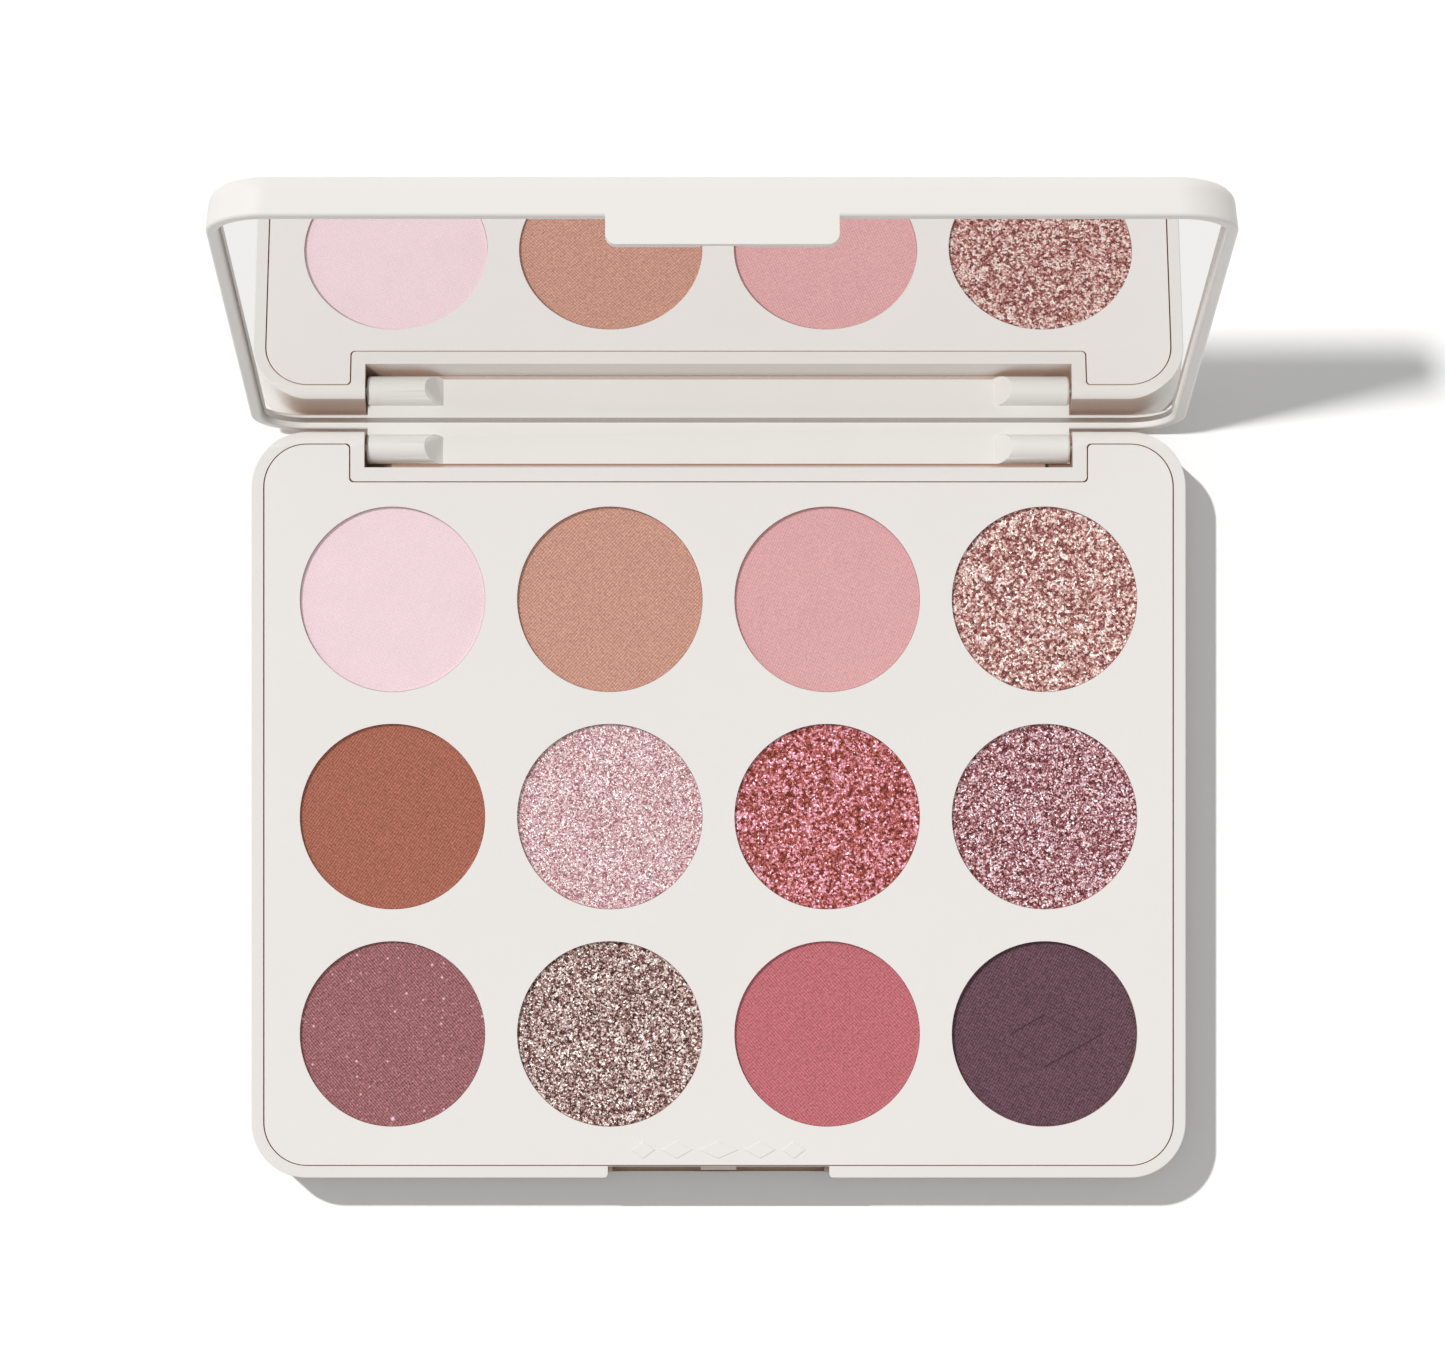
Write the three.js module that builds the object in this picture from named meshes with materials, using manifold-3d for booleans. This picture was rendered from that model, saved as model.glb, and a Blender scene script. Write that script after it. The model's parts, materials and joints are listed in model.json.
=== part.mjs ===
// Eyeshadow palette: a slim plastic compact with twelve round pans of pressed
// powder, and a hinged lid that carries a mirror. Millimetres, +Z up.
// The origin is at the centre of the flat underside of the base, +Y points to
// the hinge, and the lid stands open against its stop.

import * as THREE from 'three';
import { mergeVertices } from 'three/addons/utils/BufferGeometryUtils.js';
import Module from 'manifold-3d';

const wasm = await Module();
wasm.setup();

// ---------------------------------------------------------------- dimensions

// Outline shared by the base and the lid.
const WIDTH = 129;
const DEPTH = 103;
const CORNER_RADIUS = 7.7;

// Base shell.
const BASE_HEIGHT = 9;
const BASE_FOOT_BEVEL = 0.9;
const BASE_RIM_BEVEL = 0.15;
const BASE_FLOOR = 1.4;
const RIM_WIDTH = 1.575;
const TRAY_LEDGE = 1.525;
const RIB_THICKNESS = 1.2;

// Tray that drops into the base, flush with the rim.
const TRAY_THICKNESS = 1.45;
const TRAY_SEAT_GAP = 0.05;
const TRAY_GROOVE = 0.25;
const RELIEF_HEIGHT = 0.12;

// Pans and powders on a regular grid.
const COLUMNS = 4;
const ROWS = 3;
const PITCH = 30;
const GRID_CENTRE_Y = -1.64;
const HOLE_DIAMETER = 25.6;
const PAN_DIAMETER = 26;
const PAN_HEIGHT = 4;
const PAN_SHEET = 0.35;
const POWDER_GAP = 0.05;
const POWDER_RECESS = 0.5;
const PAD_DIAMETER = 16;
const PAD_HEIGHT = 1.7;
const GLUE_DIAMETER = 14;
const GLUE_THICKNESS = 0.26;
const GLUE_GAP = 0.02;

// Hinge: a tongue on the lid turns in a notch in the back of the base.
const AXIS_Y = 49.2;
const AXIS_Z = 5.95;
const OPEN_ANGLE = 102.5;
const TONGUE_RADIUS = DEPTH / 2 - AXIS_Y;
const BARREL_RADIUS = 2.03;
const BARREL_LENGTH = 10.5;
const BARREL_SLOPE_LENGTH = 2.5;
const TONGUE_FOOT_ANGLE = Math.PI * 11 / 6;
const NOTCH_HALF_WIDTH = 48.9;
const NOTCH_SIDE_GAP = 0.25;
const NOTCH_FRONT_GAP = 0.61;
const CRADLE_GAP = 0.3;
const CRADLE_HALF_WIDTH = 45.3;
const CRADLE_LEDGE_DROP = 0.65;
const CRADLE_END_ANGLE = Math.PI * 1.25;
const STOP_GAP = 0.06;
const NOTCH_WALL = 1.925;
const NOTCH_FOOT_WALL = 3.5;
const NOTCH_CORNER_RADIUS = 0.6;
const PIN_DIAMETER = 1.6;
const PIN_LENGTH = 8.2;
const PIN_IN_EAR = 3.1;
const PIN_PRESS_GAP = 0.04;
const PIN_RUNNING_GAP = 0.1;

// Front catch: a tab on the lid drops into a notch in the rim.
const THUMB_HALF_WIDTH = 15.3;
const THUMB_LEDGE_Z = 5.1;
const THUMB_WALL_DEPTH = 1.6;
const THUMB_SCOOP_DEPTH = 0.75;
const NIB_WIDTH = 4.9;
const NIB_HEIGHT = 1;
const NIB_PROJECTION = 0.6;
const NIB_Z = 6.4;
const TAB_WIDTH = 29;
const TAB_LENGTH = 3.6;
const TAB_THICKNESS = 1.4;
const TAB_CORNER_RADIUS = 1.4;
const CHANNEL_WIDTH = 5.5;
const CHANNEL_DEPTH = 0.55;
const CHANNEL_TOP_Z = 8;

// Lid shell, mirror and tapes, drawn in the closed position.
const SEAM = 0.1;
const LID_HEIGHT = 5.5;
const LID_EDGE_BEVEL = 1.6;
const LID_SIDE_DRAFT = 0.1;
const LID_RIM_BEVEL = 0.2;
const LID_RIM_WIDTH = 1.55;
const LID_SKIN = 1.6;
const LID_LEDGE = 4;
const LID_RIB_X = 20;
const MIRROR_RECESS = 0.7;
const MIRROR_THICKNESS = 1.2;
const MIRROR_GAP = 0.4;
const TAPE_THICKNESS = 0.24;
const TAPE_GAP = 0.03;
const TAPE_WIDTH = 2.7;
const TAPE_LENGTH = 88;

// Facets per quarter turn of a corner, and per full turn of a round piece.
const CORNER_FACETS = 5;
const ROUND_FACETS = 24;
const PAD_FACETS = 16;
const PIN_FACETS = 12;
const BEVEL_STEPS = 2;

// Levels and places that follow from the dimensions above.
const BACK_Y = DEPTH / 2;
const FRONT_Y = -DEPTH / 2;
const TRAY_SEAT_Z = BASE_HEIGHT - TRAY_THICKNESS - TRAY_SEAT_GAP;
const NOTCH_FRONT_Y = AXIS_Y - BARREL_RADIUS - NOTCH_FRONT_GAP;
const NOTCH_FLOOR_Z = AXIS_Z - TONGUE_RADIUS - CRADLE_GAP;
const PAD_TOP_Z = BASE_FLOOR + PAD_HEIGHT;
const PAN_BOTTOM_Z = PAD_TOP_Z + GLUE_THICKNESS + 2 * GLUE_GAP;
const LID_RIM_Z = BASE_HEIGHT + SEAM;
const LID_TOP_Z = LID_RIM_Z + LID_HEIGHT;
const MIRROR_Z = LID_RIM_Z + MIRROR_RECESS;
const LID_LEDGE_Z = MIRROR_Z + MIRROR_THICKNESS + TAPE_THICKNESS + 2 * TAPE_GAP;
const LID_INNER_Y = BACK_Y - LID_RIM_WIDTH;
const TONGUE_HALF_WIDTH = NOTCH_HALF_WIDTH - NOTCH_SIDE_GAP;
const WEB_HALF_WIDTH = TONGUE_HALF_WIDTH - BARREL_LENGTH;

// ----------------------------------------------------------------- materials

function material(name, colour, roughness, metalness = 0) {
  const result = new THREE.MeshStandardMaterial({ color: colour, roughness, metalness });
  result.name = name;
  return result;
}

const shellPlastic = material('shell_plastic', 0xece7e3, 0.42);
const trayPlastic = material('tray_plastic', 0xebe7e4, 0.45);
const panMetal = material('pan_metal', 0xb9bbbd, 0.35, 1);
const pinSteel = material('pin_steel', 0xa9abad, 0.3, 1);
const mirrorGlass = material('mirror_glass', 0xdfe3e4, 0.03, 1);
const tapeFoam = material('tape_foam', 0xe9e6df, 0.9);
const glueDot = material('glue', 0xe6dfca, 0.5);

// Shades row by row, from the back row to the front one.
const SHADES = [
  ['pale_pink', 0xf0d6e0],
  ['tan', 0xc89989],
  ['dusty_pink', 0xde9ba3],
  ['rose_gold', 0xd9a79a],
  ['chestnut', 0xa55a42],
  ['light_pink', 0xdeafb9],
  ['copper_rose', 0xb8645c],
  ['mauve_glitter', 0xc09aa8],
  ['mauve_brown', 0x965f64],
  ['champagne', 0xcbb1a3],
  ['raspberry', 0xc66273],
  ['plum', 0x624652],
];

// ------------------------------------------------------------ shape helpers

// A closed outline whose corners are all right angles, each with its own radius.
function cornerOutline(corners) {
  const shape = new THREE.Shape();
  corners.forEach(([x, y, radius], index) => {
    const corner = new THREE.Vector2(x, y);
    const before = new THREE.Vector2(...corners.at(index - 1));
    const after = new THREE.Vector2(...corners[(index + 1) % corners.length]);
    const towardsBefore = before.sub(corner).normalize();
    const towardsAfter = after.sub(corner).normalize();
    const centre = corner.clone();
    centre.addScaledVector(towardsBefore, radius).addScaledVector(towardsAfter, radius);
    const startAngle = Math.atan2(-towardsAfter.y, -towardsAfter.x);
    const endAngle = Math.atan2(-towardsBefore.y, -towardsBefore.x);
    const clockwise = towardsBefore.cross(towardsAfter) > 0;
    if (radius > 0) {
      shape.absarc(centre.x, centre.y, radius, startAngle, endAngle, clockwise);
    } else {
      shape.lineTo(x, y);
    }
  });
  shape.closePath();
  return shape;
}

// The palette's rounded rectangle, moved inwards by inset.
function paletteOutline(inset) {
  const x = WIDTH / 2 - inset;
  const y = DEPTH / 2 - inset;
  const radius = CORNER_RADIUS - inset;
  return cornerOutline([
    [-x, -y, radius],
    [x, -y, radius],
    [x, y, radius],
    [-x, y, radius],
  ]);
}

// The same outline, stepping forward round the hinge notch and its walls.
function notchedOutline(inset, stepHalfWidth, stepY, stepRadius) {
  const x = WIDTH / 2 - inset;
  const y = DEPTH / 2 - inset;
  const radius = CORNER_RADIUS - inset;
  return cornerOutline([
    [-x, -y, radius],
    [x, -y, radius],
    [x, y, radius],
    [stepHalfWidth, y, stepRadius],
    [stepHalfWidth, stepY, stepRadius],
    [-stepHalfWidth, stepY, stepRadius],
    [-stepHalfWidth, y, stepRadius],
    [-x, y, radius],
  ]);
}

function extrude(shape, z0, z1, curveSegments = CORNER_FACETS) {
  const options = { depth: z1 - z0, bevelEnabled: false, curveSegments };
  const geometry = new THREE.ExtrudeGeometry(shape, options);
  geometry.translate(0, 0, z0);
  return geometry;
}

// A slab of the palette's outline with both its edges rounded by bevel.
function roundedSlab(z0, z1, bevel) {
  const geometry = new THREE.ExtrudeGeometry(paletteOutline(bevel), {
    depth: z1 - z0 - 2 * bevel,
    curveSegments: CORNER_FACETS,
    bevelThickness: bevel,
    bevelSize: bevel,
    bevelSegments: BEVEL_STEPS,
  });
  geometry.translate(0, 0, z0 + bevel);
  return geometry;
}

// Leans both sides of a slab inwards above z by a slope.
function draftSides(geometry, z, slope) {
  const position = geometry.getAttribute('position');
  for (let i = 0; i < position.count; i += 1) {
    const x = position.getX(i);
    position.setX(i, x - Math.sign(x) * slope * (position.getZ(i) - z));
  }
  return geometry;
}

function box(x0, x1, y0, y1, z0, z1) {
  const geometry = new THREE.BoxGeometry(x1 - x0, y1 - y0, z1 - z0);
  geometry.translate((x0 + x1) / 2, (y0 + y1) / 2, (z0 + z1) / 2);
  return geometry;
}

// A section drawn in the (Y, Z) plane and swept along X from x0 to x1.
function sweepAlongX(section, x0, x1, curveSegments = CORNER_FACETS) {
  const geometry = extrude(section, x0, x1, curveSegments);
  const yToX = new THREE.Matrix4().set(0, 0, 1, 0, 1, 0, 0, 0, 0, 1, 0, 0, 0, 0, 0, 1);
  geometry.applyMatrix4(yToX);
  return geometry;
}

// A rod along X on the hinge axis; its facets lie outside the given radius.
function rodOnAxis(radius, x0, x1, facets) {
  const outer = radius / Math.cos(Math.PI / facets);
  const geometry = new THREE.CylinderGeometry(outer, outer, x1 - x0, facets);
  geometry.rotateZ(Math.PI / 2);
  geometry.translate((x0 + x1) / 2, AXIS_Y, AXIS_Z);
  return geometry;
}

// A turned piece: the profile's points are [radius, height], from the axis at
// the bottom round to the axis at the top.
function turned(profile, facets, x, y) {
  const points = profile.map(([radius, height]) => new THREE.Vector2(radius, height));
  const geometry = new THREE.LatheGeometry(points, facets);
  geometry.rotateX(Math.PI / 2);
  geometry.translate(x, y, 0);
  return geometry;
}

// ---------------------------------------------------------- solid operations

function solid(geometry) {
  const bare = new THREE.BufferGeometry();
  bare.setAttribute('position', geometry.getAttribute('position'));
  bare.setIndex(geometry.getIndex());
  const merged = mergeVertices(bare, 1e-5);
  return new wasm.Manifold(new wasm.Mesh({
    numProp: 3,
    vertProperties: new Float32Array(merged.getAttribute('position').array),
    triVerts: new Uint32Array(merged.getIndex().array),
  }));
}

function combine(start, additions, cuts) {
  let result = solid(start);
  for (const geometry of additions) {
    result = result.add(solid(geometry));
  }
  for (const geometry of cuts) {
    result = result.subtract(solid(geometry));
  }
  return result;
}

function geometryOf(manifold) {
  const mesh = manifold.getMesh();
  const geometry = new THREE.BufferGeometry();
  geometry.setAttribute('position', new THREE.BufferAttribute(mesh.vertProperties, 3));
  geometry.setIndex(new THREE.BufferAttribute(mesh.triVerts, 1));
  geometry.computeVertexNormals();
  return geometry;
}

function addPart(parent, name, geometry, itsMaterial) {
  const mesh = new THREE.Mesh(geometry, itsMaterial);
  mesh.name = name;
  parent.add(mesh);
}

function panPlaces() {
  const places = [];
  for (let row = 0; row < ROWS; row += 1) {
    for (let column = 0; column < COLUMNS; column += 1) {
      places.push({
        x: (column - (COLUMNS - 1) / 2) * PITCH,
        y: GRID_CENTRE_Y + ((ROWS - 1) / 2 - row) * PITCH,
        shade: SHADES[row * COLUMNS + column],
        label: `r${row + 1}c${column + 1}`,
      });
    }
  }
  return places;
}

// ---------------------------------------------------------------- base shell

// Height of the stop face at y: the open lid's back lies parallel to it.
function stopHeight(y) {
  const lean = THREE.MathUtils.degToRad(OPEN_ANGLE - 90);
  const below = (TONGUE_RADIUS + STOP_GAP) / Math.cos(lean);
  return AXIS_Z - below - (y - AXIS_Y) * Math.tan(lean);
}

// Section of the hinge notch. Its front corner is square, or a ledge and a cradle.
function notchSection(cradled) {
  const lean = THREE.MathUtils.degToRad(OPEN_ANGLE - 90);
  const stopStartY = AXIS_Y + (stopHeight(AXIS_Y) - NOTCH_FLOOR_Z) / Math.tan(lean);
  const beyondY = BACK_Y + 1;
  const above = BASE_HEIGHT + 1;
  const section = new THREE.Shape();
  section.moveTo(NOTCH_FRONT_Y, above);
  if (cradled) {
    const radius = BARREL_RADIUS + CRADLE_GAP;
    const startAngle = Math.PI + Math.asin(CRADLE_LEDGE_DROP / radius);
    const endY = AXIS_Y + radius * Math.cos(CRADLE_END_ANGLE);
    const endZ = AXIS_Z + radius * Math.sin(CRADLE_END_ANGLE);
    section.lineTo(NOTCH_FRONT_Y, AXIS_Z - CRADLE_LEDGE_DROP);
    section.absarc(AXIS_Y, AXIS_Z, radius, startAngle, CRADLE_END_ANGLE, false);
    section.lineTo(endY + endZ - NOTCH_FLOOR_Z, NOTCH_FLOOR_Z);
  } else {
    section.lineTo(NOTCH_FRONT_Y, NOTCH_FLOOR_Z);
  }
  section.lineTo(stopStartY, NOTCH_FLOOR_Z);
  section.lineTo(beyondY, stopHeight(beyondY));
  section.lineTo(beyondY, above);
  section.closePath();
  return section;
}

// What lies behind an arc about the hinge axis that is tangent to the rim: the
// rear rim is rounded off along it, so that the lid's rim rolls down behind it.
function rearRollSection() {
  const radius = BASE_HEIGHT - AXIS_Z;
  const beyondY = BACK_Y + 1;
  const above = BASE_HEIGHT + 1;
  const endAngle = Math.acos((BACK_Y - AXIS_Y) / radius);
  const section = new THREE.Shape();
  section.moveTo(AXIS_Y, above);
  section.absarc(AXIS_Y, AXIS_Z, radius, Math.PI / 2, endAngle, true);
  section.lineTo(beyondY, AXIS_Z + radius * Math.sin(endAngle));
  section.lineTo(beyondY, above);
  section.closePath();
  return section;
}

function thumbNotchCuts() {
  const beyondY = FRONT_Y - 1;
  const wallY = FRONT_Y + THUMB_WALL_DEPTH;
  const scoopY = FRONT_Y + THUMB_SCOOP_DEPTH;
  const half = THUMB_HALF_WIDTH;
  return [
    box(-half, half, beyondY, wallY, THUMB_LEDGE_Z, BASE_HEIGHT + 1),
    box(-half, half, beyondY, scoopY, -1, THUMB_LEDGE_Z + 0.5),
  ];
}

// Ribs between the pans stand on the floor and carry the tray.
function floorRibs(innerHalfWidth, frontY, backY) {
  const ribs = [];
  const half = RIB_THICKNESS / 2;
  const bottom = BASE_FLOOR - 0.5;
  for (let column = 1; column < COLUMNS; column += 1) {
    const x = (column - COLUMNS / 2) * PITCH;
    ribs.push(box(x - half, x + half, frontY, backY, bottom, TRAY_SEAT_Z));
  }
  for (let row = 1; row < ROWS; row += 1) {
    const y = GRID_CENTRE_Y + (row - ROWS / 2) * PITCH;
    ribs.push(box(-innerHalfWidth, innerHalfWidth, y - half, y + half, bottom, TRAY_SEAT_Z));
  }
  return ribs;
}

function panPads() {
  const radius = PAD_DIAMETER / 2;
  return panPlaces().map(({ x, y }) => turned([
    [0, BASE_FLOOR - 0.5],
    [radius, BASE_FLOOR - 0.5],
    [radius, PAD_TOP_Z],
    [0, PAD_TOP_Z],
  ], PAD_FACETS, x, y));
}

function makeBaseShell() {
  const rimStepHalf = NOTCH_HALF_WIDTH + NOTCH_WALL;
  const rimStepY = NOTCH_FRONT_Y - NOTCH_WALL;
  const footHalf = NOTCH_HALF_WIDTH + NOTCH_FOOT_WALL + 1;
  const footY = NOTCH_FRONT_Y - NOTCH_FOOT_WALL;
  const cavityInset = RIM_WIDTH + TRAY_LEDGE;
  const corner = NOTCH_CORNER_RADIUS;
  const traySpace = notchedOutline(RIM_WIDTH, rimStepHalf, rimStepY, corner);
  const cavity = notchedOutline(cavityInset, footHalf, footY, corner);
  const notchHalf = NOTCH_HALF_WIDTH;
  const cradleHalf = CRADLE_HALF_WIDTH;
  const pinHoleRadius = PIN_DIAMETER / 2 + PIN_PRESS_GAP;
  const pinHoleEnd = NOTCH_HALF_WIDTH + PIN_IN_EAR + 0.2;
  const footSlab = solid(roundedSlab(0, BASE_HEIGHT + 2, BASE_FOOT_BEVEL));
  const rimSlab = solid(roundedSlab(-2, BASE_HEIGHT, BASE_RIM_BEVEL));
  const block = footSlab.intersect(rimSlab);
  const hollow = geometryOf(block
    .subtract(solid(extrude(traySpace, TRAY_SEAT_Z, BASE_HEIGHT + 1)))
    .subtract(solid(extrude(cavity, BASE_FLOOR, BASE_HEIGHT + 1))));
  const innerHalfWidth = WIDTH / 2 - cavityInset + 0.2;
  const ribs = floorRibs(innerHalfWidth, FRONT_Y + cavityInset - 0.2, footY + 0.2);
  const wallY = FRONT_Y + THUMB_WALL_DEPTH;
  const nib = box(
    -NIB_WIDTH / 2, NIB_WIDTH / 2,
    wallY - NIB_PROJECTION, wallY + 0.5,
    NIB_Z, NIB_Z + NIB_HEIGHT,
  );
  const cuts = [
    sweepAlongX(notchSection(true), -cradleHalf, cradleHalf),
    sweepAlongX(notchSection(false), cradleHalf, notchHalf),
    sweepAlongX(notchSection(false), -notchHalf, -cradleHalf),
    sweepAlongX(rearRollSection(), -WIDTH / 2 - 1, WIDTH / 2 + 1),
    rodOnAxis(pinHoleRadius, notchHalf - 0.5, pinHoleEnd, PIN_FACETS),
    rodOnAxis(pinHoleRadius, -pinHoleEnd, 0.5 - notchHalf, PIN_FACETS),
    ...thumbNotchCuts(),
  ];
  const cut = combine(hollow, [...ribs, ...panPads()], cuts);
  return geometryOf(cut.add(solid(nib)));
}

// ---------------------------------------------------------------------- tray

// A row of raised lozenges on the tray's front margin.
function lozengeRow() {
  const lengths = [3.4, 4.4, 5.6, 4.4, 3.4];
  const halfHeight = 1.25;
  const gap = 0.75;
  const centreY = (FRONT_Y + GRID_CENTRE_Y - PITCH - HOLE_DIAMETER / 2) / 2 + 0.35;
  const total = lengths.reduce((sum, length) => sum + length + gap, -gap);
  let x = -total / 2;
  return lengths.map((length) => {
    const shape = new THREE.Shape();
    shape.moveTo(x, centreY);
    shape.lineTo(x + length / 2, centreY - halfHeight);
    shape.lineTo(x + length, centreY);
    shape.lineTo(x + length / 2, centreY + halfHeight);
    shape.closePath();
    x += length + gap;
    return extrude(shape, BASE_HEIGHT - 0.3, BASE_HEIGHT + RELIEF_HEIGHT);
  });
}

function makeTray() {
  const inset = RIM_WIDTH + TRAY_GROOVE;
  const stepHalf = NOTCH_HALF_WIDTH + NOTCH_WALL + TRAY_GROOVE;
  const stepY = NOTCH_FRONT_Y - NOTCH_WALL - TRAY_GROOVE;
  const outline = notchedOutline(inset, stepHalf, stepY, NOTCH_CORNER_RADIUS);
  const plate = extrude(outline, BASE_HEIGHT - TRAY_THICKNESS, BASE_HEIGHT);
  const holes = panPlaces().map(({ x, y }) => turned([
    [0, TRAY_SEAT_Z - 1],
    [HOLE_DIAMETER / 2, TRAY_SEAT_Z - 1],
    [HOLE_DIAMETER / 2, BASE_HEIGHT + 1],
    [0, BASE_HEIGHT + 1],
  ], ROUND_FACETS, x, y));
  return geometryOf(combine(plate, lozengeRow(), holes));
}

// ---------------------------------------------------------- pans and powders

function makePan(x, y) {
  const outer = PAN_DIAMETER / 2;
  const inner = outer - PAN_SHEET;
  const bottom = PAN_BOTTOM_Z;
  const floor = bottom + PAN_SHEET;
  const top = bottom + PAN_HEIGHT;
  return turned([
    [0, bottom],
    [outer, bottom],
    [outer, top],
    [inner, top],
    [inner, floor],
    [0, floor],
  ], ROUND_FACETS, x, y);
}

// Powder fills the pan and stands up through the tray's hole, a little domed.
function makePowder(x, y) {
  const radius = PAN_DIAMETER / 2 - PAN_SHEET - POWDER_GAP;
  const bottom = PAN_BOTTOM_Z + PAN_SHEET + POWDER_GAP;
  const top = BASE_HEIGHT - POWDER_RECESS;
  const crown = 0.12;
  const edge = 0.15;
  return turned([
    [0, bottom],
    [radius, bottom],
    [radius, top - crown - edge],
    [radius - edge, top - crown],
    [0, top],
  ], ROUND_FACETS, x, y);
}

function makeGlueDot(x, y) {
  const bottom = PAD_TOP_Z + GLUE_GAP;
  return turned([
    [0, bottom],
    [GLUE_DIAMETER / 2, bottom],
    [GLUE_DIAMETER / 2, bottom + GLUE_THICKNESS],
    [0, bottom + GLUE_THICKNESS],
  ], PAD_FACETS, x, y);
}

// ---------------------------------------------------------------------- lid

// Section of the tongue, the lid's rear wall run on down to the hinge axis. Its
// middle is the plain wall, and its ends carry a barrel about the axis.
function tongueSection(withBarrel) {
  const wallAngle = Math.acos((LID_INNER_Y - AXIS_Y) / BARREL_RADIUS);
  const startAngle = withBarrel ? wallAngle : 2 * Math.PI - wallAngle;
  const section = new THREE.Shape();
  section.moveTo(LID_INNER_Y, LID_RIM_Z + 1);
  section.absarc(AXIS_Y, AXIS_Z, BARREL_RADIUS, startAngle, TONGUE_FOOT_ANGLE, false);
  section.lineTo(BACK_Y, AXIS_Z);
  section.lineTo(BACK_Y, LID_RIM_Z + 1);
  section.closePath();
  return section;
}

// Cuts the barrel's inner end to a slope, from its crown down to the wall.
function barrelSlope(side) {
  const crownY = AXIS_Y - BARREL_RADIUS;
  const innerX = side * WEB_HALF_WIDTH;
  const outerX = side * (WEB_HALF_WIDTH + BARREL_SLOPE_LENGTH);
  const slope = (LID_INNER_Y - crownY) / BARREL_SLOPE_LENGTH;
  const shape = new THREE.Shape();
  shape.moveTo(innerX, LID_INNER_Y);
  shape.lineTo(outerX + side / slope, crownY - 1);
  shape.lineTo(innerX, crownY - 1);
  shape.closePath();
  return extrude(shape, AXIS_Z - BARREL_RADIUS - 1, AXIS_Z + BARREL_RADIUS + 0.5);
}

// The catch tab hangs below the rim, its two free corners rounded.
function catchTab() {
  const half = TAB_WIDTH / 2;
  const bottom = LID_RIM_Z - TAB_LENGTH;
  const top = LID_RIM_Z + 1;
  const face = cornerOutline([
    [-half, bottom, TAB_CORNER_RADIUS],
    [half, bottom, TAB_CORNER_RADIUS],
    [half, top, 0],
    [-half, top, 0],
  ]);
  const geometry = extrude(face, 0, TAB_THICKNESS);
  geometry.rotateX(Math.PI / 2);
  geometry.translate(0, FRONT_Y + TAB_THICKNESS, 0);
  return geometry;
}

// Ribs behind the mirror stiffen the lid's skin.
function lidRibs() {
  const half = RIB_THICKNESS / 2;
  const skinZ = LID_TOP_Z - LID_SKIN + 0.3;
  const reachX = WIDTH / 2 - LID_RIM_WIDTH - LID_LEDGE + 0.5;
  const reachY = DEPTH / 2 - LID_RIM_WIDTH - LID_LEDGE + 0.5;
  const bottom = LID_LEDGE_Z;
  return [
    box(-LID_RIB_X - half, -LID_RIB_X + half, -reachY, reachY, bottom, skinZ),
    box(LID_RIB_X - half, LID_RIB_X + half, -reachY, reachY, bottom, skinZ),
    box(-reachX, reachX, -half, half, bottom, skinZ),
  ];
}

function makeLidShell() {
  const innerZ = LID_TOP_Z - LID_SKIN;
  const mirrorSpace = extrude(paletteOutline(LID_RIM_WIDTH), LID_RIM_Z - 1, LID_LEDGE_Z);
  const cavity = paletteOutline(LID_RIM_WIDTH + LID_LEDGE);
  const pinHoleRadius = PIN_DIAMETER / 2 + PIN_RUNNING_GAP;
  const pinHoleStart = NOTCH_HALF_WIDTH + PIN_IN_EAR - PIN_LENGTH - 0.3;
  const upright = roundedSlab(LID_RIM_Z - 3, LID_TOP_Z, LID_EDGE_BEVEL);
  const topSlab = solid(draftSides(upright, LID_RIM_Z, LID_SIDE_DRAFT));
  const rimSlab = solid(roundedSlab(LID_RIM_Z, LID_TOP_Z + 3, LID_RIM_BEVEL));
  const dish = geometryOf(topSlab.intersect(rimSlab)
    .subtract(solid(mirrorSpace))
    .subtract(solid(extrude(cavity, LID_LEDGE_Z - 0.5, innerZ))));
  const tongue = [
    sweepAlongX(tongueSection(false), -WEB_HALF_WIDTH, WEB_HALF_WIDTH),
    sweepAlongX(tongueSection(true), WEB_HALF_WIDTH, TONGUE_HALF_WIDTH),
    sweepAlongX(tongueSection(true), -TONGUE_HALF_WIDTH, -WEB_HALF_WIDTH),
  ];
  const channel = box(
    -CHANNEL_WIDTH / 2, CHANNEL_WIDTH / 2,
    FRONT_Y + TAB_THICKNESS - CHANNEL_DEPTH, FRONT_Y + TAB_THICKNESS + 1,
    LID_RIM_Z - TAB_LENGTH - 1, CHANNEL_TOP_Z,
  );
  const cuts = [
    barrelSlope(-1),
    barrelSlope(1),
    rodOnAxis(pinHoleRadius, pinHoleStart, TONGUE_HALF_WIDTH + 1, PIN_FACETS),
    rodOnAxis(pinHoleRadius, -TONGUE_HALF_WIDTH - 1, -pinHoleStart, PIN_FACETS),
    channel,
  ];
  return geometryOf(combine(dish, [...tongue, ...lidRibs(), catchTab()], cuts));
}

function makeMirror() {
  const outline = paletteOutline(LID_RIM_WIDTH + MIRROR_GAP);
  return extrude(outline, MIRROR_Z, MIRROR_Z + MIRROR_THICKNESS);
}

function makeTape(side) {
  const centreX = side * (WIDTH / 2 - LID_RIM_WIDTH - LID_LEDGE / 2);
  const bottom = MIRROR_Z + MIRROR_THICKNESS + TAPE_GAP;
  return box(
    centreX - TAPE_WIDTH / 2, centreX + TAPE_WIDTH / 2,
    -TAPE_LENGTH / 2, TAPE_LENGTH / 2,
    bottom, bottom + TAPE_THICKNESS,
  );
}

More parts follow.
